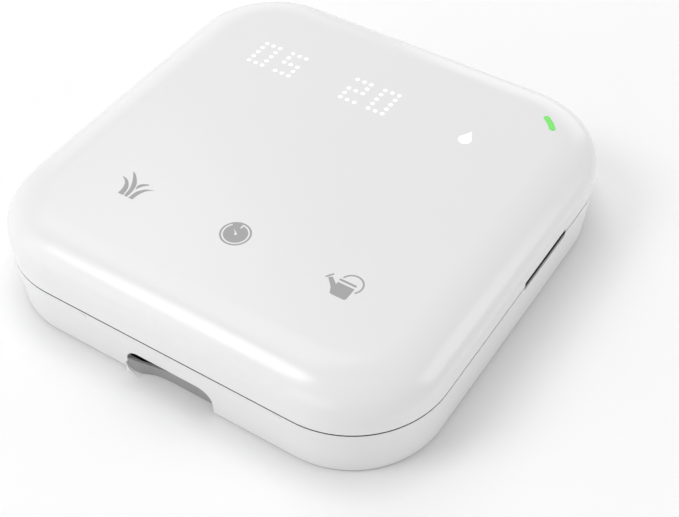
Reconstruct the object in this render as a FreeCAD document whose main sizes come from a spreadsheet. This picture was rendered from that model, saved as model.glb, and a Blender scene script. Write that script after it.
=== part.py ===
# Smart irrigation controller: a square wall unit with a soft-edged front cover.
# +X is to the right of the display, +Y is up the wall and +Z comes out of the front face.
# The origin is the middle of the back face, which lies against the wall or on a table.
# Lengths are millimetres and angles are degrees.
import FreeCAD, Part
import math
import os
import Sketcher
from types import SimpleNamespace
from FreeCAD import Vector

doc = FreeCAD.newDocument("irrigation_controller")
sheet = doc.addObject("Spreadsheet::Sheet", "Sizes")
pieces = []


# A length that keeps its number together with its formula in the sheet
class Size:
    def __init__(self, number, formula):
        self.number = float(number)
        self.formula = formula

    def __add__(self, other):
        return Size(self.number + number(other), f"({self.formula} + {formula(other)})")

    def __radd__(self, other):
        return Size(number(other) + self.number, f"({formula(other)} + {self.formula})")

    def __sub__(self, other):
        return Size(self.number - number(other), f"({self.formula} - {formula(other)})")

    def __rsub__(self, other):
        return Size(number(other) - self.number, f"({formula(other)} - {self.formula})")

    def __mul__(self, other):
        return Size(self.number * number(other), f"({self.formula} * {formula(other)})")

    def __rmul__(self, other):
        return Size(number(other) * self.number, f"({formula(other)} * {self.formula})")

    def __truediv__(self, other):
        return Size(self.number / number(other), f"({self.formula} / {formula(other)})")

    def __neg__(self):
        return Size(-self.number, f"(0 - {self.formula})")


def number(size):
    return size.number if isinstance(size, Size) else float(size)


def formula(size):
    return size.formula if isinstance(size, Size) else f"({float(size):.9g})"


# Driving sizes, which go into the sheet under their own names
SIZES = {
    # Overall shell
    "width": 150,
    "corner_radius": 31,
    "total_height": 35.5,
    "base_height": 18,
    "seam_gap": 0.4,
    "seam_round": 0.3,
    "bottom_inset": 1.2,
    "bottom_round": 1.0,
    "shoulder_width": 14.9,
    "shoulder_height": 10.6,
    "cover_wall": 2.2,
    "floor_wall": 2.2,
    "lip_wall": 1.3,
    "lip_gap": 0.3,
    "lip_rise": 2.4,
    # Slot in the right-hand seam for a flat blade
    "pry_start": 3,
    "pry_length": 27.5,
    "pry_below": 1.3,
    "pry_above": 2.2,
    # Cable notch and the recess behind it
    "notch_width": 31.3,
    "notch_height": 10.2,
    "notch_round": 5,
    "notch_wall": 2.5,
    "recess_width": 48,
    "recess_depth": 24,
    "recess_height": 11,
    "recess_wall": 2,
    "window_width": 40,
    "window_depth": 9,
    "window_margin": 2,
    # Wall screws
    "wall_pitch_wide": 114,
    "wall_pitch_high": 80,
    "wall_hole": 2.25,
    "wall_boss": 5,
    "wall_boss_rise": 3.3,
    # Snap fingers of the cover, two on each side
    "finger_spread": 36,
    "finger_width": 10,
    "finger_wall": 1.4,
    "finger_gap": 0.5,
    "finger_reach": 4,
    "finger_root": 4,
    "finger_bump": 0.3,
    "bump_height": 1.2,
    "groove_depth": 0.8,
    "groove_room": 0.5,
    # Circuit boards and their screws
    "board_wall": 1.6,
    "board_width": 88,
    "board_depth": 92,
    "board_clear": 3.5,
    "board_corner": 2,
    "post_rise": 4.3,
    "post_radius": 3.2,
    "screw_inset": 4,
    "screw_radius": 1.2,
    "screw_play": 0.05,
    "screw_hole": 1.5,
    "head_radius": 2.6,
    "head_height": 1.7,
    "drive_slot": 0.7,
    "drive_span": 3,
    "drive_depth": 0.9,
    "display_half": 57,
    "display_corner": 15,
    "display_gap": 3.5,
    "display_screw_x": 50,
    "display_screw_y": 18,
    "display_post": 3,
    # Digits of three by five dots, in two groups of two digits
    "dot_pitch": 2.655,
    "dot_hole": 0.95,
    "group_pitch": 36.25,
    "display_y": 36.1,
    "grid_margin": 2.4,
    "grid_foot": 2,
    "thin_wall": 0.8,
    "fit_gap": 0.1,
    "chip_long": 1.3,
    "chip_wide": 0.8,
    "chip_high": 0.6,
    # Drop window, lit arc and touch pads
    "drop_radius": 5,
    "drop_wall": 0.9,
    "status_radius": 16,
    "status_half": 0.6,
    "status_span": 11,
    "status_rim": 0.8,
    "status_flange": 1,
    "lamp_side": 3,
    "lamp_high": 1,
    "touch_pitch": 37.3,
    "touch_y": -38.1,
    "touch_radius": 6.5,
    "touch_bore": 2.5,
    # Push-in terminals
    "terminal_count": 8,
    "terminal_pitch": 5.08,
    "terminal_end": 0.8,
    "terminal_deep": 12,
    "terminal_high": 11.5,
    "wire_radius": 1.4,
    "wire_rise": 6.9,
    "wire_depth": 5,
    "tab_wide": 3.6,
    "tab_deep": 5.4,
    "tab_proud": 1.7,
    "tab_high": 7,
    "tab_gap": 0.15,
    "tab_travel": 1.5,
    "tab_setback": 5.8,
    "tab_slot": 0.6,
    # Joint between the two boards
    "plug_x": -8,
    "plug_y": 78,
    "pin_pitch": 2.54,
    "pin_columns": 5,
    "pin_rows": 2,
    "pin_side": 0.64,
    "pin_room": 0.12,
    "pin_insert": 6,
    "header_high": 2.5,
    "socket_high": 8.5,
    # Parts on the main board
    "triac_count": 6,
    "triac_pitch": 7,
    "triac_setback": 20,
    "triac_radius": 2.3,
    "triac_high": 4.6,
    "triac_stand": 2.5,
    "leg_side": 0.5,
    "left_lane": 9.5,
    "varistor_y": 11.5,
    "varistor_radius": 5,
    "varistor_thick": 3.6,
    "varistor_stand": 1.4,
    "varistor_leg": 2.5,
    "fuse_y": 22,
    "fuse_length": 20,
    "fuse_radius": 2.6,
    "fuse_glass": 2.3,
    "fuse_cap": 5,
    "fuse_lift": 3.6,
    "clip_wall": 0.5,
    "clip_long": 4,
    "clip_play": 0.03,
    "clip_mouth": 3.6,
    "bridge_y": 51,
    "bridge_wide": 14.5,
    "bridge_thick": 3.6,
    "bridge_high": 9,
    "bridge_stand": 2,
    "bridge_hole": 1.6,
    "capacitor_y": 62,
    "capacitor_pitch": 13,
    "capacitor_radius": 5,
    "capacitor_high": 12,
    "crimp_rise": 2.2,
    "crimp_radius": 0.7,
    "capacitor_edge": 0.6,
    "inductor_x": -14,
    "inductor_y": 53,
    "inductor_side": 12,
    "inductor_high": 6,
    "inductor_core": 4.4,
    "inductor_ring": 0.7,
    "chip_x": 8,
    "chip_y": 51,
    "chip_side": 10,
    "chip_thick": 1.5,
    "display_chip_side": 14,
    "radio_wide": 18,
    "radio_long": 20,
    "radio_board": 0.8,
    "radio_inset": 8,
    "shield_wide": 15.5,
    "shield_long": 13,
    "shield_high": 2.2,
    "shield_round": 0.5,
    "reset_inset": 11,
    "reset_side": 6,
    "reset_high": 3.5,
    "plunger_radius": 1.7,
    "plunger_room": 0.08,
    "plunger_proud": 2.5,
    "plunger_sunk": 0.9,
    "plunger_travel": 0.4,
    "cell_radius": 8,
    "cell_thick": 3.2,
    "cell_inset": 13,
    "cell_y": 38,
    "holder_wall": 1.5,
    "holder_floor": 1,
}

# The sheet holds plain numbers, and every formula refers to its cells by their names
sizes = SimpleNamespace()
for row, (alias, value) in enumerate(SIZES.items(), start=1):
    sheet.set(f"A{row}", alias)
    sheet.set(f"B{row}", str(value))
    sheet.setAlias(f"B{row}", alias)
    setattr(sizes, alias, Size(value, f"Sizes.{alias}"))

# Levels and edges worked out from the driving sizes
cover_bottom = sizes.base_height + sizes.seam_gap
cover_ceiling = sizes.total_height - sizes.cover_wall
half_width = sizes.width / 2
lip_outer = half_width - sizes.cover_wall - sizes.lip_gap
base_wall = sizes.cover_wall + sizes.lip_gap + sizes.lip_wall
cavity = half_width - base_wall
flat_half = half_width - sizes.shoulder_width
recess_front = -(half_width - sizes.notch_wall)
recess_back = recess_front + sizes.recess_depth
finger_out = cavity - sizes.finger_gap
finger_low = sizes.base_height - sizes.finger_reach
root_low = sizes.base_height + sizes.lip_rise + sizes.fit_gap * 4
board_low = sizes.floor_wall + sizes.post_rise
board_high = board_low + sizes.board_wall
board_front = recess_back + sizes.recess_wall + sizes.board_clear
board_back = board_front + sizes.board_depth
board_left = -sizes.board_width / 2
board_right = sizes.board_width / 2
lane_x = board_left + sizes.left_lane
display_high = cover_ceiling - sizes.display_gap
display_low = display_high - sizes.board_wall
corner_centre = half_width - sizes.corner_radius
main_screws = [
    (board_left + sizes.screw_inset, board_front + sizes.screw_inset),
    (board_right - sizes.screw_inset, board_front + sizes.screw_inset),
    (board_right - sizes.screw_inset, board_back - sizes.screw_inset),
    (board_left + sizes.screw_inset, board_back - sizes.screw_inset),
]
display_screws = [
    (-sizes.display_screw_x, -sizes.display_screw_y),
    (sizes.display_screw_x, -sizes.display_screw_y),
    (sizes.display_screw_x, sizes.display_screw_y),
    (-sizes.display_screw_x, sizes.display_screw_y),
]


def bind(thing, prop, size):
    thing.setExpression(prop, formula(size))


def body(label):
    made = doc.addObject("PartDesign::Body", label)
    made.Label = label
    pieces.append(made)
    return made


# A new sketch on one of the body's own planes, moved along the plane's normal
def sketch_on(part, name, offset=0, role="XY_Plane"):
    sketch = part.newObject("Sketcher::SketchObject", name)
    for feature in part.Origin.OriginFeatures:
        if feature.Role == role:
            sketch.AttachmentSupport = [(feature, "")]
    sketch.MapMode = "FlatFace"
    bind(sketch, "AttachmentOffset.Base.z", offset)
    return sketch


# Ties a sketch point to a distance from the sketch's origin, on the side where it lies
def place_point(sketch, kind, geometry, point, size):
    if number(size) >= 0:
        ends = (-1, 1, geometry, point)
    else:
        ends = (geometry, point, -1, 1)
        size = -size
    index = sketch.addConstraint(Sketcher.Constraint(kind, *ends, number(size)))
    bind(sketch, f"Constraints[{index}]", size)


def set_radius(sketch, geometry, size):
    index = sketch.addConstraint(Sketcher.Constraint("Radius", geometry, number(size)))
    bind(sketch, f"Constraints[{index}]", size)


def arc(centre, radius, start, end):
    circle = Part.Circle(Vector(*centre, 0), Vector(0, 0, 1), radius)
    return Part.ArcOfCircle(circle, math.radians(start), math.radians(end))


def line(start, end):
    return Part.LineSegment(Vector(*start, 0), Vector(*end, 0))


# Closed rectangle with four rounded corners
def rounded_rectangle(sketch, left, right, low, high, radius):
    x0, x1, y0, y1 = (number(size) for size in (left, right, low, high))
    turn = number(radius)
    first = sketch.GeometryCount
    sketch.addGeometry(line((x0 + turn, y0), (x1 - turn, y0)))
    sketch.addGeometry(arc((x1 - turn, y0 + turn), turn, 270, 360))
    sketch.addGeometry(line((x1, y0 + turn), (x1, y1 - turn)))
    sketch.addGeometry(arc((x1 - turn, y1 - turn), turn, 0, 90))
    sketch.addGeometry(line((x1 - turn, y1), (x0 + turn, y1)))
    sketch.addGeometry(arc((x0 + turn, y1 - turn), turn, 90, 180))
    sketch.addGeometry(line((x0, y1 - turn), (x0, y0 + turn)))
    sketch.addGeometry(arc((x0 + turn, y0 + turn), turn, 180, 270))
    for side in range(0, 8, 2):
        here = first + side
        after = first + (side + 2) % 8
        sketch.addConstraint(Sketcher.Constraint("Tangent", here, 2, here + 1, 1))
        sketch.addConstraint(Sketcher.Constraint("Tangent", here + 1, 2, after, 1))
        kind = "Vertical" if side % 4 else "Horizontal"
        sketch.addConstraint(Sketcher.Constraint(kind, here))
    for corner in (3, 5, 7):
        sketch.addConstraint(Sketcher.Constraint("Equal", first + 1, first + corner))
    set_radius(sketch, first + 1, radius)
    place_point(sketch, "DistanceX", first + 6, 1, left)
    place_point(sketch, "DistanceX", first + 2, 1, right)
    place_point(sketch, "DistanceY", first, 1, low)
    place_point(sketch, "DistanceY", first + 4, 1, high)


# Closed rectangle with sharp corners
def rectangle(sketch, left, right, low, high):
    x0, x1, y0, y1 = (number(size) for size in (left, right, low, high))
    corners = [(x0, y0), (x1, y0), (x1, y1), (x0, y1)]
    first = sketch.GeometryCount
    for side in range(4):
        sketch.addGeometry(line(corners[side], corners[(side + 1) % 4]))
    for side in range(4):
        after = first + (side + 1) % 4
        sketch.addConstraint(Sketcher.Constraint("Coincident", first + side, 2, after, 1))
        kind = "Vertical" if side % 2 else "Horizontal"
        sketch.addConstraint(Sketcher.Constraint(kind, first + side))
    place_point(sketch, "DistanceX", first + 3, 1, left)
    place_point(sketch, "DistanceX", first + 1, 1, right)
    place_point(sketch, "DistanceY", first, 1, low)
    place_point(sketch, "DistanceY", first + 2, 1, high)


def circle(sketch, x, y, radius):
    index = sketch.addGeometry(Part.Circle(Vector(number(x), number(y), 0), Vector(0, 0, 1),
                                           number(radius)))
    set_radius(sketch, index, radius)
    place_point(sketch, "DistanceX", index, 3, x)
    place_point(sketch, "DistanceY", index, 3, y)


def pad(part, sketch, length, downward=False):
    feature = part.newObject("PartDesign::Pad", sketch.Name + "_pad")
    feature.Profile = sketch
    feature.Reversed = downward
    bind(feature, "Length", length)
    return feature


def pocket(part, sketch, length, upward=False):
    feature = part.newObject("PartDesign::Pocket", sketch.Name + "_pocket")
    feature.Profile = sketch
    feature.Reversed = upward
    bind(feature, "Length", length)
    return feature


# Rounds the edges of a body's last feature that a test on the edge's ends picks out
def edging(part, name, radius, wanted):
    doc.recompute()
    last = part.Tip
    chosen = []
    for index, edge in enumerate(last.Shape.Edges):
        if all(wanted(vertex.Point) for vertex in edge.Vertexes):
            chosen.append(f"Edge{index + 1}")
    feature = part.newObject("PartDesign::Fillet", name)
    feature.Base = (last, chosen)
    bind(feature, "Radius", radius)
    return feature


# Repeats features of a body four times round its vertical axis, once for each side
def on_four_sides(part, features, name):
    pattern = part.newObject("PartDesign::PolarPattern", name)
    pattern.Originals = features
    for feature in part.Origin.OriginFeatures:
        if feature.Role == "Z_Axis":
            pattern.Axis = (feature, [""])
    pattern.Angle = 360
    pattern.Occurrences = 4
    part.Tip = pattern
    return pattern


# Repeats a feature in rows and columns; each step is a sketch axis, a pitch and a count
def in_rows(part, feature, sketch, name, steps):
    pattern = part.newObject("PartDesign::MultiTransform", name)
    pattern.Originals = [feature]
    rows_of_copies = []
    for index, (axis, pitch, count) in enumerate(steps):
        row = part.newObject("PartDesign::LinearPattern", f"{name}_{index + 1}")
        row.Direction = (sketch, [axis])
        bind(row, "Length", pitch * (count - 1))
        bind(row, "Occurrences", count)
        rows_of_copies.append(row)
    pattern.Transformations = rows_of_copies
    part.Tip = pattern
    return pattern


# Names a finished object as one of the pieces
def finish(thing, label):
    thing.Label = label
    pieces.append(thing)
    return thing


def place(thing, x, y, z):
    bind(thing, "Placement.Base.x", x)
    bind(thing, "Placement.Base.y", y)
    bind(thing, "Placement.Base.z", z)


# Box whose corner nearest the origin of the frame lies at x, y, z
def block(name, x, y, z, wide, deep, high):
    made = doc.addObject("Part::Box", name)
    bind(made, "Length", wide)
    bind(made, "Width", deep)
    bind(made, "Height", high)
    place(made, x, y, z)
    return made


# Box centred on x and y that stands on z
def tower(name, x, y, z, wide, deep, high):
    return block(name, x - wide / 2, y - deep / 2, z, wide, deep, high)


# Cylinder that starts at x, y, z and runs along one axis of the frame
def rod(name, x, y, z, radius, length, along="Z"):
    made = doc.addObject("Part::Cylinder", name)
    bind(made, "Radius", radius)
    bind(made, "Height", length)
    turns = {"X": (Vector(0, 1, 0), 90), "Y": (Vector(1, 0, 0), -90), "Z": (Vector(0, 0, 1), 0)}
    made.Placement.Rotation = FreeCAD.Rotation(*turns[along])
    place(made, x, y, z)
    return made


def joined(name, things):
    made = doc.addObject("Part::MultiFuse", name)
    made.Shapes = things
    return made


def without(name, solid, tool):
    made = doc.addObject("Part::Cut", name)
    made.Base = solid
    made.Tool = tool
    return made


# Rounds every edge of a solid that a test on the edge's ends picks out
def rounded(name, solid, radius, wanted):
    doc.recompute()
    made = doc.addObject("Part::Fillet", name)
    made.Base = solid
    chosen = []
    for index, edge in enumerate(solid.Shape.Edges):
        if wanted([vertex.Point for vertex in edge.Vertexes]):
            chosen.append((index + 1, number(radius), number(radius)))
    made.Edges = chosen
    return made


def cosine(angle):
    return Size(math.cos(math.radians(number(angle))), f"cos({formula(angle)})")


# Curved slot round a centre on the diagonal, with round ends
def curved_slot(sketch, centre, radius, half, span):
    half_turn = 180
    diagonal = 45
    middle = number(centre)
    turn = number(radius)
    side = number(half)
    low = diagonal - number(span)
    high = diagonal + number(span)
    ends = []
    for angle in (low, high):
        away = math.radians(angle)
        ends.append((middle + turn * math.cos(away), middle + turn * math.sin(away)))
    outer = sketch.addGeometry(arc((middle, middle), turn + side, low, high))
    far = sketch.addGeometry(arc(ends[1], side, high, high + half_turn))
    inner = sketch.addGeometry(arc((middle, middle), turn - side, low, high))
    near = sketch.addGeometry(arc(ends[0], side, low - half_turn, low))
    for first, second in (((outer, 2), (far, 1)), ((far, 2), (inner, 2)),
                          ((inner, 1), (near, 1)), ((near, 2), (outer, 1))):
        sketch.addConstraint(Sketcher.Constraint("Tangent", *first, *second))
    sketch.addConstraint(Sketcher.Constraint("Coincident", inner, 3, outer, 3))
    place_point(sketch, "DistanceX", outer, 3, centre)
    place_point(sketch, "DistanceY", outer, 3, centre)
    set_radius(sketch, outer, radius + half)
    set_radius(sketch, inner, radius - half)
    place_point(sketch, "DistanceX", far, 3, centre + radius * cosine(diagonal + span))
    place_point(sketch, "DistanceX", near, 3, centre + radius * cosine(diagonal - span))


# Quarter of an ellipse from its right end to its top
def quarter_ellipse(sketch, x, y, wide, high):
    centre = Vector(number(x), number(y), 0)
    curve = Part.Ellipse(centre, number(wide), number(high))
    index = sketch.addGeometry(Part.ArcOfEllipse(curve, 0, math.pi / 2))
    sketch.exposeInternalGeometry(index)
    place_point(sketch, "DistanceX", index, 3, x)
    place_point(sketch, "DistanceY", index, 3, y)
    sketch.addConstraint(Sketcher.Constraint("Horizontal", index + 1))
    for axis, half in ((index + 1, wide), (index + 2, high)):
        length = sketch.addConstraint(Sketcher.Constraint("Distance", axis, 1, axis, 2,
                                                          2 * number(half)))
        bind(sketch, f"Constraints[{length}]", 2 * half)
    sketch.addConstraint(Sketcher.Constraint("Horizontal", index, 1, index, 3))
    sketch.addConstraint(Sketcher.Constraint("Vertical", index, 2, index, 3))
    return index


# Tray that fixes to the wall: tapered sides, a lip inside the seam, posts and screw bosses
def base_housing():
    part = body("base_housing")
    back_half = half_width - sizes.bottom_inset
    outline = sketch_on(part, "base_outline")
    rounded_rectangle(outline, -back_half, back_half, -back_half, back_half,
                      sizes.corner_radius - sizes.bottom_inset)
    shell = pad(part, outline, sizes.base_height)
    shell.setExpression("TaperAngle", "atan(Sizes.bottom_inset / Sizes.base_height)")
    rim = number(sizes.base_height)
    edging(part, "bottom_edging", sizes.bottom_round, lambda end: abs(end.z) < 1e-6)
    edging(part, "base_seam_edging", sizes.seam_round, lambda end: abs(end.z - rim) < 1e-6)
    inner = sketch_on(part, "base_cavity", sizes.base_height)
    rounded_rectangle(inner, -cavity, cavity, -cavity, cavity, sizes.corner_radius - base_wall)
    pocket(part, inner, sizes.base_height - sizes.floor_wall)

    # The cables come in under this raised box, from the notch up through the window
    half = sizes.recess_width / 2
    roof = sketch_on(part, "recess_box")
    rectangle(roof, -(half + sizes.recess_wall), half + sizes.recess_wall,
              -(cavity + sizes.lip_wall / 2), recess_back + sizes.recess_wall)
    pad(part, roof, sizes.recess_height + sizes.recess_wall)
    hollow = sketch_on(part, "recess")
    rectangle(hollow, -half, half, recess_front, recess_back)
    pocket(part, hollow, sizes.recess_height, upward=True)
    notch = sketch_on(part, "cable_notch", half_width, "XZ_Plane")
    rounded_rectangle(notch, -sizes.notch_width / 2, sizes.notch_width / 2, -sizes.notch_height,
                      sizes.notch_height, sizes.notch_round)
    pocket(part, notch, sizes.notch_wall + sizes.fit_gap)
    window = sketch_on(part, "wire_window", sizes.recess_height + sizes.recess_wall)
    window_back = recess_back - sizes.window_margin
    rounded_rectangle(window, -sizes.window_width / 2, sizes.window_width / 2,
                      window_back - sizes.window_depth, window_back, sizes.recess_wall)
    pocket(part, window, sizes.recess_wall + sizes.fit_gap)

    # Lip that the cover drops over
    lip = sketch_on(part, "seam_lip", sizes.base_height)
    lip_corner = sizes.corner_radius - sizes.cover_wall - sizes.lip_gap
    rounded_rectangle(lip, -lip_outer, lip_outer, -lip_outer, lip_outer, lip_corner)
    rounded_rectangle(lip, -cavity, cavity, -cavity, cavity, sizes.corner_radius - base_wall)
    pad(part, lip, sizes.lip_rise)
    pry = sketch_on(part, "pry_slot", sizes.base_height)
    rectangle(pry, lip_outer, half_width + 1, sizes.pry_start, sizes.pry_start + sizes.pry_length)
    pocket(part, pry, sizes.pry_below)

    # Posts under the main board and bosses round the wall screws
    posts = sketch_on(part, "board_posts", sizes.floor_wall)
    for x, y in main_screws:
        circle(posts, x, y, sizes.post_radius)
    pad(part, posts, sizes.post_rise)
    pilots = sketch_on(part, "post_pilots", board_low)
    for x, y in main_screws:
        circle(pilots, x, y, sizes.screw_radius + sizes.screw_play)
    pocket(part, pilots, sizes.post_rise)
    wide = sizes.wall_pitch_wide / 2
    high = sizes.wall_pitch_high / 2
    corners = [(wide, high), (-wide, high), (-wide, -high), (wide, -high)]
    bosses = sketch_on(part, "wall_bosses", sizes.floor_wall)
    for x, y in corners:
        circle(bosses, x, y, sizes.wall_boss)
    pad(part, bosses, sizes.wall_boss_rise)
    holes = sketch_on(part, "wall_holes", sizes.floor_wall + sizes.wall_boss_rise)
    for x, y in corners:
        circle(holes, x, y, sizes.wall_hole)
    pocket(part, holes, sizes.floor_wall + sizes.wall_boss_rise + sizes.fit_gap)

    # Grooves that take the bumps of the snap fingers
    groove = sketch_on(part, "snap_grooves", finger_low + sizes.fit_gap)
    reach = sizes.finger_width / 2 + sizes.groove_room
    for middle in (-sizes.finger_spread, sizes.finger_spread):
        rectangle(groove, cavity - sizes.groove_room, cavity + sizes.groove_depth, middle - reach,
                  middle + reach)
    groove_cut = pocket(part, groove, sizes.bump_height + sizes.groove_room, upward=True)
    on_four_sides(part, [groove_cut], "grooves_round")


# Cap with an elliptical shoulder, thinned behind the digits and the drop
def front_cover():
    part = body("front_cover")
    path = sketch_on(part, "cover_path", cover_bottom)
    rounded_rectangle(path, -half_width, half_width, -half_width, half_width, sizes.corner_radius)
    section = sketch_on(part, "cover_section", 0, "XZ_Plane")
    spring = sizes.total_height - sizes.shoulder_height
    outer = quarter_ellipse(section, flat_half, spring, sizes.shoulder_width, sizes.shoulder_height)
    inner = quarter_ellipse(section, flat_half, spring, sizes.shoulder_width - sizes.cover_wall,
                            sizes.shoulder_height - sizes.cover_wall)
    inside = number(half_width - sizes.cover_wall)
    outside = number(half_width)
    flat_end = number(flat_half)
    foot_level = number(cover_bottom)
    right = section.addGeometry(line((outside, foot_level), (outside, number(spring))))
    left = section.addGeometry(line((flat_end, number(sizes.total_height)),
                                    (flat_end, number(cover_ceiling))))
    inward = section.addGeometry(line((inside, number(spring)), (inside, foot_level)))
    foot = section.addGeometry(line((inside, foot_level), (outside, foot_level)))
    for first, second in (((right, 2), (outer, 1)), ((outer, 2), (left, 1)), ((left, 2), (inner, 2)),
                          ((inner, 1), (inward, 1)), ((inward, 2), (foot, 1)), ((foot, 2), (right, 1))):
        section.addConstraint(Sketcher.Constraint("Coincident", *first, *second))
    section.addConstraint(Sketcher.Constraint("Vertical", right))
    section.addConstraint(Sketcher.Constraint("Vertical", inward))
    section.addConstraint(Sketcher.Constraint("Horizontal", foot))
    place_point(section, "DistanceY", foot, 1, cover_bottom)
    shoulder = part.newObject("PartDesign::AdditivePipe", "cover_shoulder")
    shoulder.Profile = section
    shoulder.Spine = path
    plate = sketch_on(part, "cover_plate", cover_ceiling)
    rounded_rectangle(plate, -flat_half, flat_half, -flat_half, flat_half,
                      sizes.corner_radius - sizes.shoulder_width)
    pad(part, plate, sizes.cover_wall)

    def outer_rim(end):
        return abs(end.z - foot_level) < 1e-6 and max(abs(end.x), abs(end.y)) > outside - 1e-3

    edging(part, "cover_seam_edging", sizes.seam_round, outer_rim)
    pry = sketch_on(part, "cover_pry_slot", cover_bottom)
    rectangle(pry, half_width - sizes.cover_wall - 1, half_width + 1, sizes.pry_start,
              sizes.pry_start + sizes.pry_length)
    pocket(part, pry, sizes.pry_above - sizes.seam_gap, upward=True)

    # Thinned windows that the light shines through, and the slot of the lit arc
    digit_half = sizes.dot_pitch * 3 + sizes.grid_margin + sizes.fit_gap
    row_half = sizes.dot_pitch * 2 + sizes.grid_margin + sizes.fit_gap
    windows = sketch_on(part, "digit_windows", cover_ceiling)
    for middle in (-sizes.group_pitch, 0):
        rectangle(windows, middle - digit_half, middle + digit_half, sizes.display_y - row_half,
                  sizes.display_y + row_half)
    circle(windows, sizes.group_pitch, sizes.display_y, sizes.drop_radius + sizes.fit_gap)
    pocket(part, windows, sizes.cover_wall - sizes.thin_wall, upward=True)
    slot = sketch_on(part, "status_slot", sizes.total_height)
    curved_slot(slot, corner_centre, sizes.status_radius, sizes.status_half, sizes.status_span)
    pocket(part, slot, sizes.cover_wall + sizes.fit_gap)

    # Posts for the display board, drilled for its screws
    posts = sketch_on(part, "display_posts", display_high)
    for x, y in display_screws:
        circle(posts, x, y, sizes.display_post)
        circle(posts, x, y, sizes.screw_radius + sizes.screw_play)
    pad(part, posts, sizes.display_gap)

    # Snap fingers
    inner_face = half_width - sizes.cover_wall
    root = sketch_on(part, "finger_roots", root_low)
    finger = sketch_on(part, "fingers", finger_low)
    bump = sketch_on(part, "finger_bumps", finger_low + sizes.groove_room)
    for middle in (-sizes.finger_spread, sizes.finger_spread):
        low = middle - sizes.finger_width / 2
        high = middle + sizes.finger_width / 2
        rectangle(root, finger_out - sizes.finger_wall, inner_face + sizes.groove_room, low, high)
        rectangle(finger, finger_out - sizes.finger_wall, finger_out, low, high)
        rectangle(bump, finger_out - sizes.fit_gap, finger_out + sizes.finger_bump, low, high)
    roots = pad(part, root, sizes.finger_root)
    fingers = pad(part, finger, root_low - finger_low)
    bumps = pad(part, bump, sizes.bump_height)
    on_four_sides(part, [roots, fingers, bumps], "fingers_round")


# Flat board with rounded corners and its screw holes
def circuit_board(label, left, right, low, high, level, corner, screws):
    part = body(label)
    outline = sketch_on(part, label + "_outline", level)
    rounded_rectangle(outline, left, right, low, high, corner)
    for x, y in screws:
        circle(outline, x, y, sizes.screw_hole)
    pad(part, outline, sizes.board_wall)


# Cross-head screw that goes down into a post, or up into one when it hangs
def board_screw(label, x, y, seat, upward):
    length = sizes.display_gap if upward else sizes.post_rise
    reach = sizes.board_wall + length - sizes.fit_gap * 4
    head_low = seat - sizes.head_height if upward else seat
    shank_low = seat if upward else seat - reach
    slot_low = head_low if upward else seat + sizes.head_height - sizes.drive_depth
    head = rod(label + "_head", x, y, head_low, sizes.head_radius, sizes.head_height)
    shank = rod(label + "_shank", x, y, shank_low, sizes.screw_radius, reach)
    solid = joined(label + "_blank", [head, shank])
    cross = joined(label + "_cross", [
        tower(label + "_slot_x", x, y, slot_low, sizes.drive_span, sizes.drive_slot, sizes.drive_depth),
        tower(label + "_slot_y", x, y, slot_low, sizes.drive_slot, sizes.drive_span, sizes.drive_depth),
    ])
    finish(without(label, solid, cross), label)


# Opaque guide that keeps the light of each dot apart
def light_grid():
    part = body("light_grid")
    digit_half = sizes.dot_pitch * 3 + sizes.grid_margin
    row_half = sizes.dot_pitch * 2 + sizes.grid_margin
    foot = sketch_on(part, "grid_foot", display_high)
    rectangle(foot, -(sizes.group_pitch + digit_half), digit_half, sizes.display_y - row_half,
              sizes.display_y + row_half)
    pad(part, foot, sizes.grid_foot)
    towers = sketch_on(part, "grid_towers", display_high)
    for middle in (-sizes.group_pitch, 0):
        rectangle(towers, middle - digit_half, middle + digit_half, sizes.display_y - row_half,
                  sizes.display_y + row_half)
    grid_height = sizes.display_gap + sizes.cover_wall - sizes.thin_wall - sizes.fit_gap
    pad(part, towers, grid_height)
    dot = sketch_on(part, "grid_dot", display_high + grid_height)
    circle(dot, -(sizes.group_pitch + sizes.dot_pitch * 3), sizes.display_y - sizes.dot_pitch * 2,
           sizes.dot_hole)
    hole = pocket(part, dot, grid_height + sizes.fit_gap)
    in_rows(part, hole, dot, "grid_holes", [
        ("H_Axis", sizes.dot_pitch, 3),
        ("V_Axis", sizes.dot_pitch, 5),
        ("H_Axis", sizes.dot_pitch * 4, 2),
        ("H_Axis", sizes.group_pitch, 2),
    ])


# The light chips of one digit, three across and five up
def digit_leds(label, left):
    chips = []
    for column in range(3):
        for row in range(5):
            x = left + sizes.dot_pitch * column
            y = sizes.display_y + sizes.dot_pitch * (row - 2)
            name = f"{label}_{column}_{row}"
            chips.append(tower(name, x, y, display_high, sizes.chip_long, sizes.chip_wide,
                               sizes.chip_high))
    finish(joined(label, chips), label)


def display_lights():
    for group in range(2):
        for digit in range(2):
            left = sizes.group_pitch * (group - 1) + sizes.dot_pitch * (digit * 4 - 3)
            digit_leds(f"digit_leds_{group * 2 + digit + 1}", left)
    tube_height = sizes.display_gap + sizes.cover_wall - sizes.thin_wall - sizes.fit_gap
    outside = rod("drop_tube_outside", sizes.group_pitch, sizes.display_y, display_high,
                  sizes.drop_radius, tube_height)
    inside = rod("drop_tube_inside", sizes.group_pitch, sizes.display_y, display_high,
                 sizes.drop_radius - sizes.drop_wall, tube_height)
    finish(without("drop_tube", outside, inside), "drop_tube")
    finish(tower("drop_led", sizes.group_pitch, sizes.display_y, display_high, sizes.lamp_side,
                 sizes.lamp_side, sizes.lamp_high), "drop_led")
    diagonal = corner_centre + sizes.status_radius * cosine(45)
    finish(tower("status_led", diagonal, diagonal, display_high, sizes.lamp_side, sizes.lamp_side,
                 sizes.lamp_high), "status_led")


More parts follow.
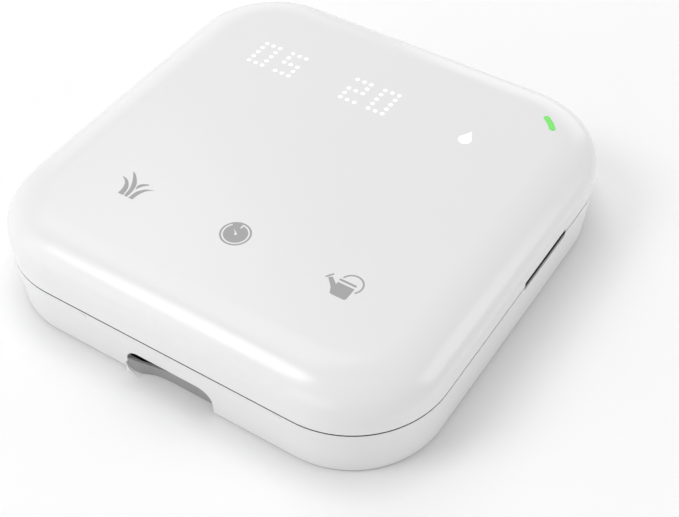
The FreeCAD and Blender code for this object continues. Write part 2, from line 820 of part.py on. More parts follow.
# Clear curved bar that carries the status light to the face of the cover
def status_light_pipe():
    part = body("status_light_pipe")
    low = display_high + sizes.lamp_high + sizes.fit_gap
    flange_low = cover_ceiling - sizes.status_flange - sizes.fit_gap
    stem = sketch_on(part, "pipe_stem", low)
    curved_slot(stem, corner_centre, sizes.status_radius, sizes.status_half, sizes.status_span)
    pad(part, stem, sizes.total_height - low)
    flange = sketch_on(part, "pipe_flange", flange_low)
    curved_slot(flange, corner_centre, sizes.status_radius, sizes.status_half + sizes.status_rim,
                sizes.status_span)
    pad(part, flange, sizes.status_flange)


# Conductive foam pads between the display board and the back of the face
def touch_pads():
    for index in range(3):
        label = f"touch_pad_{index + 1}"
        x = sizes.touch_pitch * (index - 1)
        outside = rod(label + "_outside", x, sizes.touch_y, display_high, sizes.touch_radius,
                      sizes.display_gap)
        inside = rod(label + "_inside", x, sizes.touch_y, display_high, sizes.touch_bore,
                     sizes.display_gap)
        finish(without(label, outside, inside), label)


# Push-in terminal strip: wires enter from the front, a tab above each one frees it
def terminal_block():
    part = body("terminal_block")
    half = sizes.terminal_count * sizes.terminal_pitch / 2 + sizes.terminal_end
    first = -(sizes.terminal_count - 1) * sizes.terminal_pitch / 2
    front = board_front + sizes.fit_gap * 5
    outline = sketch_on(part, "terminal_outline", board_high)
    rectangle(outline, -half, half, front, front + sizes.terminal_deep)
    pad(part, outline, sizes.terminal_high)
    wire = sketch_on(part, "terminal_wire", -front, "XZ_Plane")
    circle(wire, first, board_high + sizes.wire_rise, sizes.wire_radius)
    wire_hole = pocket(part, wire, sizes.wire_depth)
    in_rows(part, wire_hole, wire, "terminal_wires",
            [("H_Axis", sizes.terminal_pitch, sizes.terminal_count)])
    well = sketch_on(part, "terminal_well", board_high + sizes.terminal_high)
    wide = sizes.tab_wide / 2 + sizes.tab_gap
    near = front + sizes.tab_setback - sizes.tab_gap
    rectangle(well, first - wide, first + wide, near, near + sizes.tab_deep + sizes.tab_gap * 2)
    well_cut = pocket(part, well,
                      sizes.tab_high - sizes.tab_proud + sizes.tab_travel + sizes.groove_room)
    in_rows(part, well_cut, well, "terminal_wells",
            [("H_Axis", sizes.terminal_pitch, sizes.terminal_count)])


def terminal_tabs():
    first = -(sizes.terminal_count - 1) * sizes.terminal_pitch / 2
    near = board_front + sizes.fit_gap * 5 + sizes.tab_setback
    low = board_high + sizes.terminal_high + sizes.tab_proud - sizes.tab_high
    for index in range(int(number(sizes.terminal_count))):
        label = f"terminal_tab_{index + 1}"
        x = first + sizes.terminal_pitch * index
        bar = block(label + "_bar", x - sizes.tab_wide / 2, near, low, sizes.tab_wide, sizes.tab_deep,
                    sizes.tab_high)
        slot_y = near + sizes.tab_deep / 2 - sizes.tab_slot / 2
        slot = block(label + "_slot", x - sizes.tab_wide / 2, slot_y,
                     low + sizes.tab_high - sizes.tab_slot, sizes.tab_wide, sizes.tab_slot,
                     sizes.tab_slot)
        finish(without(label, bar, slot), label)


# Pin header on the main board and the socket that hangs from the display board
def board_plug():
    header_wide = sizes.pin_pitch * sizes.pin_columns
    header_deep = sizes.pin_pitch * sizes.pin_rows
    plug_y = board_front + sizes.plug_y
    finish(tower("board_header", sizes.plug_x, plug_y, board_high, header_wide, header_deep,
                 sizes.header_high), "board_header")
    socket_low = display_low - sizes.socket_high
    pin_low = board_high + sizes.header_high
    first_x = sizes.plug_x - sizes.pin_pitch * (sizes.pin_columns - 1) / 2
    first_y = plug_y - sizes.pin_pitch * (sizes.pin_rows - 1) / 2
    pins = []
    for column in range(int(number(sizes.pin_columns))):
        for row in range(int(number(sizes.pin_rows))):
            x = first_x + sizes.pin_pitch * column
            y = first_y + sizes.pin_pitch * row
            name = f"header_pin_{column}_{row}"
            pins.append(tower(name, x, y, pin_low, sizes.pin_side, sizes.pin_side,
                              socket_low + sizes.pin_insert - pin_low))
    finish(joined("header_pins", pins), "header_pins")

    part = body("board_socket")
    outline = sketch_on(part, "socket_outline", socket_low)
    rectangle(outline, sizes.plug_x - header_wide / 2, sizes.plug_x + header_wide / 2,
              plug_y - header_deep / 2, plug_y + header_deep / 2)
    pad(part, outline, sizes.socket_high)
    pin_half = sizes.pin_side / 2 + sizes.pin_room
    hole = sketch_on(part, "socket_hole", socket_low)
    rectangle(hole, first_x - pin_half, first_x + pin_half, first_y - pin_half, first_y + pin_half)
    cut = pocket(part, hole, sizes.pin_insert + sizes.groove_room, upward=True)
    in_rows(part, cut, hole, "socket_holes", [
        ("H_Axis", sizes.pin_pitch, sizes.pin_columns),
        ("V_Axis", sizes.pin_pitch, sizes.pin_rows),
    ])


# Row of valve switches in half-round cases on three legs
def triacs():
    y = board_front + sizes.triac_setback
    first = -(sizes.triac_count - 1) * sizes.triac_pitch / 2
    case_low = board_high + sizes.triac_stand
    for index in range(int(number(sizes.triac_count))):
        label = f"triac_{index + 1}"
        x = first + sizes.triac_pitch * index
        drum = rod(label + "_drum", x, y, case_low, sizes.triac_radius, sizes.triac_high)
        flat = tower(label + "_flat", x, y - sizes.triac_radius * 1.6, case_low,
                     sizes.triac_radius * 2, sizes.triac_radius, sizes.triac_high)
        things = [without(label + "_case", drum, flat)]
        for leg in range(3):
            leg_x = x + sizes.triac_radius * 0.55 * (leg - 1)
            things.append(tower(f"{label}_leg_{leg}", leg_x, y, board_high, sizes.leg_side,
                                sizes.leg_side, sizes.triac_stand))
        finish(joined(label, things), label)


def varistor():
    y = board_front + sizes.varistor_y
    centre = board_high + sizes.varistor_stand + sizes.varistor_radius
    things = [rod("varistor_disc", lane_x, y - sizes.varistor_thick / 2, centre, sizes.varistor_radius,
                  sizes.varistor_thick, "Y")]
    for side in (-1, 1):
        leg_x = lane_x + sizes.varistor_leg * side
        things.append(tower(f"varistor_leg_{side + 1}", leg_x, y, board_high, sizes.leg_side,
                            sizes.leg_side, sizes.varistor_radius))
    finish(joined("varistor", things), "varistor")


# Glass fuse held in two sprung clips
def fuse():
    y = board_front + sizes.fuse_y
    level = board_high + sizes.fuse_lift
    things = [
        rod("fuse_tube", lane_x, y, level, sizes.fuse_glass, sizes.fuse_length, "Y"),
        rod("fuse_cap_near", lane_x, y, level, sizes.fuse_radius, sizes.fuse_cap, "Y"),
        rod("fuse_cap_far", lane_x, y + sizes.fuse_length - sizes.fuse_cap, level, sizes.fuse_radius,
            sizes.fuse_cap, "Y"),
    ]
    finish(joined("fuse", things), "fuse")
    clip_wide = (sizes.fuse_radius + sizes.clip_play + sizes.clip_wall) * 2
    clip_y = (y + (sizes.fuse_cap - sizes.clip_long) / 2,
              y + sizes.fuse_length - (sizes.fuse_cap + sizes.clip_long) / 2)
    for index, near in enumerate(clip_y):
        label = f"fuse_clip_{index + 1}"
        cheek = block(label + "_cheek", lane_x - clip_wide / 2, near, board_high, clip_wide,
                      sizes.clip_long, sizes.fuse_lift + sizes.fuse_radius)
        bore = rod(label + "_bore", lane_x, near - 1, level, sizes.fuse_radius + sizes.clip_play,
                   sizes.clip_long + 2, "Y")
        mouth = block(label + "_mouth", lane_x - sizes.clip_mouth / 2, near - 1, level,
                      sizes.clip_mouth, sizes.clip_long + 2, sizes.fuse_radius * 2)
        finish(without(label, cheek, joined(label + "_gap", [bore, mouth])), label)


def bridge_rectifier():
    y = board_front + sizes.bridge_y
    low = board_high + sizes.bridge_stand
    things = [tower("bridge_case", lane_x, y, low, sizes.bridge_wide, sizes.bridge_thick,
                    sizes.bridge_high)]
    for leg in range(4):
        leg_x = lane_x + sizes.bridge_wide / 4 * (leg - 1.5)
        things.append(tower(f"bridge_leg_{leg}", leg_x, y, board_high, sizes.leg_side * 2,
                            sizes.leg_side, sizes.bridge_stand))
    solid = joined("bridge_solid", things)
    bore = rod("bridge_bore", lane_x, y - sizes.bridge_thick, low + sizes.bridge_high / 2,
               sizes.bridge_hole, sizes.bridge_thick * 2, "Y")
    finish(without("bridge_rectifier", solid, bore), "bridge_rectifier")


def filter_capacitors():
    for index in range(2):
        label = f"filter_capacitor_{index + 1}"
        y = board_front + sizes.capacitor_y + sizes.capacitor_pitch * index
        top = board_high + sizes.capacitor_high
        can = rod(label + "_can", lane_x, y, board_high, sizes.capacitor_radius, sizes.capacitor_high)
        crimp = doc.addObject("Part::Torus", label + "_crimp")
        bind(crimp, "Radius1", sizes.capacitor_radius + sizes.crimp_radius / 2)
        bind(crimp, "Radius2", sizes.crimp_radius)
        place(crimp, lane_x, y, board_high + sizes.crimp_rise)
        shaped = without(label + "_shaped", can, crimp)
        level = number(top)
        made = rounded(label, shaped, sizes.capacitor_edge,
                       lambda ends: all(abs(end.z - level) < 1e-6 for end in ends))
        finish(made, label)


def power_inductor():
    x = sizes.inductor_x
    y = board_front + sizes.inductor_y
    top = board_high + sizes.inductor_high
    case = tower("inductor_case", x, y, board_high, sizes.inductor_side, sizes.inductor_side,
                 sizes.inductor_high)
    ring_low = top - sizes.inductor_ring
    ring = rod("inductor_ring_outside", x, y, ring_low, sizes.inductor_core + sizes.inductor_ring,
               sizes.inductor_ring)
    core = rod("inductor_ring_inside", x, y, ring_low, sizes.inductor_core, sizes.inductor_ring)
    grooved = without("inductor_grooved", case, without("inductor_groove", ring, core))
    low, high = number(board_high), number(top)

    def upright(ends):
        return len(ends) == 2 and abs(ends[0].z - ends[1].z) > high - low - 1e-6

    finish(rounded("power_inductor", grooved, sizes.board_corner, upright), "power_inductor")


def chips():
    finish(tower("controller_chip", sizes.chip_x, board_front + sizes.chip_y, board_high,
                 sizes.chip_side, sizes.chip_side, sizes.chip_thick), "controller_chip")
    finish(tower("display_chip", 0, 0, display_low - sizes.chip_thick, sizes.display_chip_side,
                 sizes.display_chip_side, sizes.chip_thick), "display_chip")


# Radio module: a thin board with a metal shield over its parts
def radio_module():
    x = board_right - sizes.radio_inset - sizes.radio_wide / 2
    y = board_back - sizes.radio_inset - sizes.radio_long / 2
    finish(tower("radio_board", x, y, board_high, sizes.radio_wide, sizes.radio_long,
                 sizes.radio_board), "radio_board")
    low = board_high + sizes.radio_board
    shield_y = y - (sizes.radio_long - sizes.shield_long) / 2 + sizes.shield_round * 2
    can = tower("shield_can", x, shield_y, low, sizes.shield_wide, sizes.shield_long, sizes.shield_high)
    top = number(low + sizes.shield_high)
    made = rounded("radio_shield", can, sizes.shield_round,
                   lambda ends: all(abs(end.z - top) < 1e-6 for end in ends))
    finish(made, "radio_shield")


# Small push switch that resets the unit when the cover is off
def reset_switch():
    x = board_right - sizes.reset_inset
    y = board_front + sizes.reset_inset
    top = board_high + sizes.reset_high
    case = tower("reset_case", x, y, board_high, sizes.reset_side, sizes.reset_side, sizes.reset_high)
    sunk = sizes.plunger_sunk + sizes.plunger_travel + sizes.fit_gap * 2
    bore = rod("reset_bore", x, y, top - sunk, sizes.plunger_radius + sizes.plunger_room, sunk)
    finish(without("reset_switch", case, bore), "reset_switch")
    plunger = rod("reset_plunger", x, y, top - sizes.plunger_sunk, sizes.plunger_radius,
                  sizes.plunger_sunk + sizes.plunger_proud)
    finish(plunger, "reset_plunger")


# Coin cell that keeps the clock going, in an open ring holder
def clock_cell():
    x = board_right - sizes.cell_inset
    y = board_front + sizes.cell_y
    outer = sizes.cell_radius + sizes.fit_gap + sizes.holder_wall
    case = rod("holder_case", x, y, board_high, outer, sizes.holder_floor + sizes.cell_thick)
    room = rod("holder_room", x, y, board_high + sizes.holder_floor, sizes.cell_radius + sizes.fit_gap,
               sizes.cell_thick)
    finish(without("cell_holder", case, room), "cell_holder")
    finish(rod("clock_cell", x, y, board_high + sizes.holder_floor, sizes.cell_radius,
               sizes.cell_thick), "clock_cell")


base_housing()
circuit_board("main_board", board_left, board_right, board_front, board_back, board_low,
              sizes.board_corner, main_screws)
for index, (x, y) in enumerate(main_screws):
    board_screw(f"main_board_screw_{index + 1}", x, y, board_high, upward=False)
terminal_block()
terminal_tabs()
triacs()
varistor()
fuse()
bridge_rectifier()
filter_capacitors()
power_inductor()
radio_module()
reset_switch()
clock_cell()
chips()
board_plug()
front_cover()
circuit_board("display_board", -sizes.display_half, sizes.display_half, -sizes.display_half,
              sizes.display_half, display_low, sizes.display_corner, display_screws)
for index, (x, y) in enumerate(display_screws):
    board_screw(f"display_board_screw_{index + 1}", x, y, display_low, upward=True)
light_grid()
display_lights()
status_light_pipe()
touch_pads()

doc.recompute()
for thing in doc.Objects:
    if "Invalid" in thing.State or "Error" in thing.State:
        raise ValueError(f"{thing.Label} did not build: {thing.State}")
for piece in pieces:
    if piece.Shape.isNull() or not piece.Shape.isValid():
        raise ValueError(f"{piece.Label} has no valid shape")
os.makedirs("parts", exist_ok=True)
for piece in pieces:
    piece.Shape.exportStep(f"parts/{piece.Label}.step")
print(f"{len(pieces)} pieces written")
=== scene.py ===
# Smart irrigation controller: a square white wall unit with a pull-off cover over a wired base.
# It lies on its back on a pale table, lit softly from the front left.
import math

import bmesh
import bpy
from mathutils import Matrix, Vector


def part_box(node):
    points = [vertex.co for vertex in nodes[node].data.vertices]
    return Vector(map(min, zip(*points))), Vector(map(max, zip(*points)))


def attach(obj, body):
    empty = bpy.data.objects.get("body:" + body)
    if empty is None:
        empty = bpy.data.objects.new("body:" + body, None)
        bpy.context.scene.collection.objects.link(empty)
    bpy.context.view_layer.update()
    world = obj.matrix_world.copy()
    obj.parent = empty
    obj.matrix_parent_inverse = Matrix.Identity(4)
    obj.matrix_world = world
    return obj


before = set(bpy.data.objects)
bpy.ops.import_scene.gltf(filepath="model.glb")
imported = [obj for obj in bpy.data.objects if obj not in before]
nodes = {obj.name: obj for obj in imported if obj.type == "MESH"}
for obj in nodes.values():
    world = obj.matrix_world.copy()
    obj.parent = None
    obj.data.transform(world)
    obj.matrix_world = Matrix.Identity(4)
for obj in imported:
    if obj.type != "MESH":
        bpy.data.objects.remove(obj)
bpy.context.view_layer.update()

# Base housing: the shallow tray that is screwed to the wall, injection moulded in white plastic.
# Its outside has the fine grain of a spark-eroded mould, and its flat faces show faint rings
# where ejector pins pushed it out. Webs brace the bosses round the wall screws.
mm = 0.001


# Adds one step to a surface's finish; what it is fed are numbers, colours or other steps' results
def step(surface, kind, fed, result=0, **settings):
    node = surface.node_tree.nodes.new("ShaderNode" + kind)
    for setting, value in settings.items():
        setattr(node, setting, value)
    for socket, value in fed.items():
        if isinstance(value, bpy.types.NodeSocket):
            surface.node_tree.links.new(value, node.inputs[socket])
        else:
            node.inputs[socket].default_value = value
    return node.outputs[result]


def feed(surface, socket, value):
    shader = surface.node_tree.nodes["Principled BSDF"]
    if isinstance(value, bpy.types.NodeSocket):
        surface.node_tree.links.new(value, shader.inputs[socket])
    else:
        shader.inputs[socket].default_value = value


def spread(surface, value, low, high, new_low, new_high):
    return step(surface, "MapRange", {"Value": value, "From Min": low, "From Max": high,
                                      "To Min": new_low, "To Max": new_high})


def between(surface, amount, first, second):
    return step(surface, "Mix", {0: amount, 6: (*first, 1), 7: (*second, 1)}, 2, data_type="RGBA")


def reckon(surface, kind, first, second=0.0):
    return step(surface, "Math", {0: first, 1: second}, operation=kind)


# The place on the piece, as three distances in millimetres
def place_in_mm(surface):
    place = step(surface, "TexCoord", {}, "Object")
    scaled = step(surface, "VectorMath", {0: place, "Scale": 1000}, operation="SCALE")
    split = step(surface, "SeparateXYZ", {0: scaled}).node
    return split.outputs["X"], split.outputs["Y"], split.outputs["Z"]


# Distance from the nearest point of a square pattern of points
def from_pattern(surface, across, along, pitch, shift=0.0):
    offsets = []
    for value in (across, along):
        moved = reckon(surface, "ADD", value, pitch * 100.5 - shift)
        wrapped = reckon(surface, "MODULO", moved, pitch)
        offsets.append(reckon(surface, "SUBTRACT", wrapped, pitch / 2))
    squares = [reckon(surface, "MULTIPLY", offset, offset) for offset in offsets]
    return reckon(surface, "SQRT", reckon(surface, "ADD", *squares))


# Moulded plastic: its tone and gloss drift a little, and a fine grain stands up from it
def moulded(name, tone, gloss, grain, height):
    surface = bpy.data.materials.new(name)
    surface.use_nodes = True
    place = step(surface, "TexCoord", {}, "Object")
    cloud = step(surface, "TexNoise", {"Vector": place, "Scale": 45, "Detail": 3})
    darker = tuple(channel * 0.993 for channel in tone)
    feed(surface, "Base Color", between(surface, spread(surface, cloud, 0.2, 0.8, 0, 1), darker, tone))
    feed(surface, "Roughness", spread(surface, cloud, 0.2, 0.8, gloss - 0.015, gloss + 0.02))
    fine = step(surface, "TexNoise", {"Vector": place, "Scale": 1 / grain, "Detail": 2})
    feed(surface, "Normal", step(surface, "Bump", {"Height": fine, "Strength": 0.35,
                                                  "Distance": height}))
    return surface


# Puts a finish on a part of the model
def dress(surface, *names):
    for name in names:
        nodes[name].material_slots[0].material = surface


# Faint raised rings of ejector pins, in rows on the flat face at one level
def pin_marks(surface, pitch, radius, level):
    across, along, up = place_in_mm(surface)
    away = from_pattern(surface, across, along, pitch, pitch / 2)
    rim = reckon(surface, "COMPARE", away, radius)
    rim.node.inputs[2].default_value = 0.12
    on_floor = reckon(surface, "COMPARE", up, level)
    on_floor.node.inputs[2].default_value = 0.1
    rim = reckon(surface, "MULTIPLY", rim, on_floor)
    grain = surface.node_tree.nodes["Bump"].outputs[0]
    feed(surface, "Normal", step(surface, "Bump", {"Height": rim, "Strength": 0.4, "Normal": grain,
                                                  "Distance": 0.05 * mm}))


base_white = moulded("base_white", (0.79, 0.79, 0.795), 0.28, 0.45 * mm, 0.010 * mm)
pin_marks(base_white, 31, 2.5, 2.2)
dress(base_white, "base_housing")


# Turns drawn shapes into a piece that moves with a body and takes its finish from a slot
def piece_of(name, build, surfaces, body):
    bmesh.ops.recalc_face_normals(build, faces=build.faces)
    mesh = bpy.data.meshes.new(name)
    build.to_mesh(mesh)
    build.free()
    mesh.transform(Matrix.Scale(mm, 4))
    for surface in surfaces:
        mesh.materials.append(surface)
    piece = bpy.data.objects.new(name, mesh)
    bpy.context.collection.objects.link(piece)
    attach(piece, body)
    return piece


# Raises a closed outline into a solid, with its upper edge drawn in by a small chamfer
def raise_outline(build, outline, low, high, edge=0.0, surface=0):
    count = len(outline)
    middle = sum((Vector(point) for point in outline), Vector((0, 0))) / count
    levels = [(low, 0.0), (high, 0.0)] if edge == 0 else [(low, 0.0), (high - edge, 0.0), (high, abs(edge))]
    loops = []
    for level, inset in levels:
        loop = []
        for x, y in outline:
            towards = middle - Vector((x, y))
            moved = Vector((x, y)) + towards.normalized() * inset * 1.4
            loop.append(build.verts.new((moved.x, moved.y, level)))
        loops.append(loop)
    faces = [build.faces.new(loops[0][::-1]), build.faces.new(loops[-1])]
    for lower, upper in zip(loops, loops[1:]):
        for index in range(count):
            after = (index + 1) % count
            faces.append(build.faces.new((lower[index], lower[after], upper[after], upper[index])))
    for face in faces:
        face.material_index = surface


# Four corners of a rectangle about a centre, turned by an angle
def box_outline(x, y, wide, deep, turn=0):
    cosine, sine = math.cos(math.radians(turn)), math.sin(math.radians(turn))
    corners = ((-wide / 2, -deep / 2), (wide / 2, -deep / 2), (wide / 2, deep / 2), (-wide / 2, deep / 2))
    return [(x + a * cosine - b * sine, y + a * sine + b * cosine) for a, b in corners]


webs = bmesh.new()
for boss_x in (-57, 57):
    for boss_y in (-40, 40):
        for turn in (45, 135, 225, 315):
            along = Vector((math.cos(math.radians(turn)), math.sin(math.radians(turn))))
            side = Vector((-along.y, along.x)) * 0.4
            ends = []
            for hand in (-1, 1):
                for reach, level in ((4.8, 2.1), (8.6, 2.1), (8.6, 2.6), (4.8, 5.2)):
                    spot = Vector((boss_x, boss_y)) + along * reach + side * hand
                    ends.append(webs.verts.new((spot.x, spot.y, level)))
            webs.faces.new(ends[:4])
            webs.faces.new(ends[4:])
            for index in range(4):
                after = (index + 1) % 4
                webs.faces.new((ends[index], ends[after], ends[after + 4], ends[index + 4]))
for rib_x in (-46.5, 46.5):
    for low_y, high_y in ((-44, -2), (2, 62)):
        raise_outline(webs, box_outline(rib_x, (low_y + high_y) / 2, 1.1, high_y - low_y), 2.1, 4.0, 0.2)
piece_of("base_webs", webs, [base_white], "base")

# Gasket: a thin ring of black rubber, glued along the rim where the cover closes on the base.
# It bulges out between the two rounded edges; its black is painted shade, standing for the dark line of the
# shadow gap at the joint.
# Painted shade: near-black rubber fills the seam so that the joint shows as a dark line
seam_shade_black = moulded("seam_shade_black", (0.012, 0.012, 0.012), 0.6, 0.15 * mm, 0.01 * mm)


# Outline of a square with round corners, about the middle of the unit
def rounded_square(half, radius, count=24):
    outline = []
    for cosine, sine in ((1, 0), (0, 1), (-1, 0), (0, -1)):
        for index in range(count + 1):
            angle = math.radians(90 * index / count)
            a = half - radius + radius * math.cos(angle)
            b = half - radius + radius * math.sin(angle)
            outline.append((a * cosine - b * sine, a * sine + b * cosine))
    return outline


gasket = bmesh.new()
loops = []
for inset, level in ((0.9, 18.01), (0.31, 18.01), (0.2, 17.98), (0.1, 17.94), (0.06, 18.06), (0.06, 18.34),
                     (0.1, 18.46), (0.2, 18.42), (0.31, 18.39), (0.9, 18.39)):
    loops.append([gasket.verts.new((x, y, level)) for x, y in rounded_square(75 - inset, 31 - inset)])
for lower, upper in zip(loops, loops[1:] + loops[:1]):
    for index in range(len(lower)):
        after = (index + 1) % len(lower)
        face = gasket.faces.new((lower[index], lower[after], upper[after], upper[index]))
        face.smooth = True
piece_of("gasket", gasket, [seam_shade_black], "base")

# Cable guard: a bent strip of grey rubber across the lower part of the cable notch, with a strip of black foam
# close behind it.
# The grey strip's tone is painted shade for the notch, and the black strip is painted shade for the deep recess
# behind it; the cables push them aside.
guard_shade_grey = moulded("guard_shade_grey", (0.32, 0.32, 0.325), 0.7, 0.3 * mm, 0.02 * mm)
guard_shade_black = moulded("guard_shade_black", (0.01, 0.01, 0.01), 0.95, 0.5 * mm, 0.1 * mm)


# Stands a strip of even thickness up along a line of points, each with its own top
def stand_strip(build, line, low, thick, surface):
    sides = []
    for shift in (0, thick):
        sides.append([(build.verts.new((x, y + shift, low)), build.verts.new((x, y + shift, top)))
                      for x, y, top in line])
    front, back = sides
    faces = []
    for index in range(len(line) - 1):
        for side in sides:
            faces.append((side[index][0], side[index + 1][0], side[index + 1][1], side[index][1]))
        for edge in (0, 1):
            faces.append((front[index][edge], front[index + 1][edge], back[index + 1][edge], back[index][edge]))
    for end in (0, -1):
        faces.append((front[end][0], front[end][1], back[end][1], back[end][0]))
    for corners in faces:
        build.faces.new(corners).material_index = surface


guard = bmesh.new()
stand_strip(guard, [(-15.3, -74.3, 5.6), (-14, -74.0, 5.5), (-12, -73.5, 5.2), (-10, -72.7, 4.7),
                    (-8, -71.9, 4.2), (-5.5, -71.4, 4.0), (-2, -71.2, 4.6), (1, -71.2, 5.0),
                    (20, -71.2, 5.2)], 0.15, 0.8, 0)
# Black sheet behind the strip: painted shade closing the recess, so the gap above the strip shows dark
stand_strip(guard, [(-23.5, -69.6, 10.6), (23.5, -69.6, 10.6)], 0.15, 2, 1)
piece_of("cable_guard", guard, [guard_shade_grey, guard_shade_black], "base")

# Notch foot: a small rounded web that fills the lower left corner of the cable notch
foot = bmesh.new()
foot_outline = [(-15.9, 0.05), (-11.4, 0.05)]
for turn in range(0, 91, 10):
    foot_outline.append((-11.4 - 4.25 * math.sin(math.radians(turn)),
                         4.3 - 4.25 * math.cos(math.radians(turn))))
foot_outline.append((-15.9, 4.3))
ends = [[foot.verts.new((x, y, z)) for x, z in foot_outline] for y in (-74.97, -72.6)]
foot.faces.new(ends[0])
foot.faces.new(ends[1])
for index in range(len(foot_outline)):
    after = (index + 1) % len(foot_outline)
    foot.faces.new((ends[0][index], ends[0][after], ends[1][after], ends[1][index]))
piece_of("notch_foot", foot, [base_white], "base")

# Main board: glass-fibre laminate with green lacquer over its copper tracks, screwed to four posts.
# Tracks show as paler raised bands, every lead has a cone of solder, and white print marks the
# outline of each part. Small parts are soldered flat on the copper.
board_green = bpy.data.materials.new("board_green")
board_green.use_nodes = True
across, along, up = place_in_mm(board_green)
place = step(board_green, "TexCoord", {}, "Object")
weave = step(board_green, "TexWave", {"Vector": place, "Scale": 600, "Distortion": 1.5, "Detail": 1})
cross_weave = step(board_green, "TexWave", {"Vector": place, "Scale": 600, "Distortion": 1.5},
                   bands_direction="Y")
cloth = reckon(board_green, "MULTIPLY", weave, cross_weave)
pour = step(board_green, "TexVoronoi", {"Vector": place, "Scale": 70}, feature="F1",
            distance="CHEBYCHEV")
pour_edge = reckon(board_green, "LESS_THAN", pour, 0.42)
lacquer = between(board_green, pour_edge, (0.012, 0.13, 0.055), (0.022, 0.19, 0.085))
feed(board_green, "Base Color", lacquer)
feed(board_green, "Roughness", spread(board_green, cloth, 0, 1, 0.24, 0.36))
feed(board_green, "Coat Weight", 0.3)
feed(board_green, "Normal", step(board_green, "Bump", {"Height": reckon(board_green, "ADD", cloth, pour_edge),
                                                       "Strength": 0.3, "Distance": 0.03 * mm}))
dress(board_green, "main_board", "display_board")
track_green = moulded("track_green", (0.035, 0.27, 0.12), 0.28, 0.3 * mm, 0.004 * mm)
print_white = moulded("print_white", (0.78, 0.8, 0.78), 0.6, 0.1 * mm, 0.01 * mm)


# Plated or bare metal: brushed along one way, with the gloss of its wear
def metal(name, tone, gloss, stretch, height=0.004):
    surface = bpy.data.materials.new(name)
    surface.use_nodes = True
    place = step(surface, "TexCoord", {}, "Object")
    drawn = step(surface, "Mapping", {"Vector": place, "Scale": stretch})
    lines = step(surface, "TexNoise", {"Vector": drawn, "Scale": 900, "Detail": 3})
    cloud = step(surface, "TexNoise", {"Vector": place, "Scale": 160, "Detail": 3})
    duller = tuple(channel * 0.8 for channel in tone)
    feed(surface, "Base Color", between(surface, spread(surface, cloud, 0.35, 0.7, 0, 1), tone, duller))
    feed(surface, "Metallic", 1.0)
    feed(surface, "Roughness", spread(surface, lines, 0.3, 0.7, gloss - 0.05, gloss + 0.1))
    feed(surface, "Normal", step(surface, "Bump", {"Height": lines, "Strength": 0.3,
                                                  "Distance": height * mm}))
    return surface


solder_tin = metal("solder_tin", (0.72, 0.73, 0.74), 0.25, (1, 1, 1))
copper_gold = metal("copper_gold", (0.85, 0.62, 0.3), 0.28, (1, 1, 1))


# Lays flat bands of even width along lines of points, a little above or below a board's face
def lay_bands(build, lines, width, level, lift):
    for points in lines:
        edges = []
        for index, point in enumerate(points):
            ahead = Vector(points[min(index + 1, len(points) - 1)]) - Vector(point)
            behind = Vector(point) - Vector(points[max(index - 1, 0)])
            ways = [way.normalized() for way in (ahead, behind) if way.length > 0]
            along = (ways[0] + ways[-1]).normalized()
            reach = width / 2 / max(along.dot(ways[0]), 0.4)
            side = Vector((-along.y, along.x)) * reach
            edges.append([build.verts.new((*(Vector(point) + side * hand), level + lift)) for hand in (1, -1)])
        for start, end in zip(edges, edges[1:]):
            build.faces.new((start[0], start[1], end[1], end[0]))


# A track that leaves straight, crosses over at 45 degrees and arrives straight
def track(start, end, first=0.5):
    (x0, y0), (x1, y1) = start, end
    jog = abs(x1 - x0)
    straight = abs(y1 - y0) - jog
    way = 1 if y1 > y0 else -1
    if straight < 0:
        return [start, (x1 - math.copysign(abs(y1 - y0), x1 - x0), y0), end]
    bend = y0 + way * straight * first
    return [start, (x0, bend), (x1, bend + way * jog), end]


main_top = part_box("main_board")[1][2] / mm
terminal_x = [(index - 3.5) * 5.08 for index in range(8)]
triac_x = [(index - 2.5) * 7 for index in range(6)]
header_x = [-8 + (index - 2) * 2.54 for index in range(5)]
fine_lines, wide_lines = [], []
for index, x in enumerate(triac_x):
    wide_lines.append(track((terminal_x[index + 1], -30), (x - 1.27, -24), 0.3))
    fine_lines.append(track((x + 1.27, -22), (x + 1.3, -13), 0.4))
    fine_lines.append(track((x - 1.3, -7), (4 + index * 0.8 * 1.0, 2.4), 0.25))
    fine_lines.append([(x + 1.3, -16.8), (x + 1.3, -19.2)])
for index, x in enumerate(header_x):
    fine_lines.append(track((5 + index * 0.8, 13.7), (x, 32.5), 0.15))
    fine_lines.append(track((x + 1.27, 37.5), (x + 1.27 + 14, 46.5), 0.2)[:3])
for index in range(6):
    fine_lines.append([(13.7, 5 + index * 0.8), (15 + index * 0.5, 5 + index * 0.8),
                       (16.5 + index * 0.5, 6.5 + index * 0.8), (16.5 + index * 0.5, 22 + index * 2)])
fine_lines.append([(30.5, -28.5), (30.5, -22), (24, -15.5), (20.5, -12), (20.5, 1), (15, 6.5), (13.7, 6.5)])
fine_lines.append([(21, -8), (19, -6), (19, 0), (13.6, 5.4)])
wide_lines.append([(-36.9, -29), (-36.9, -24), (-34.5, -21.6), (-34.5, -19)])
wide_lines.append([(-34.5, -3), (-34.5, 1), (-39.9, 6.4), (-39.9, 8)])
wide_lines.append([(-36.3, 9), (-36.3, 14), (-34.5, 15.8), (-34.5, 36)])
wide_lines.append([(-32.7, 9), (-32.7, 11), (-28, 15.7), (-28, 40), (-31, 43)])
wide_lines.append([(-29.1, 9), (-24, 9), (-21, 6), (-19, 6)])
wide_lines.append([(-9, 10), (-3, 10), (0, 13), (0, 26), (-3, 29), (-3, 33)])
bands = bmesh.new()
lay_bands(bands, fine_lines, 0.35, main_top, 0.03)
lay_bands(bands, wide_lines, 1.5, main_top, 0.03)
piece_of("main_board_tracks", bands, [track_green], "base")


# Outline of a rectangle as one closed line of points
def frame_line(x, y, wide, deep):
    corners = box_outline(x, y, wide, deep)
    return [(x, y - deep / 2)] + [corners[1], corners[2], corners[3], corners[0]] + [(x, y - deep / 2)]


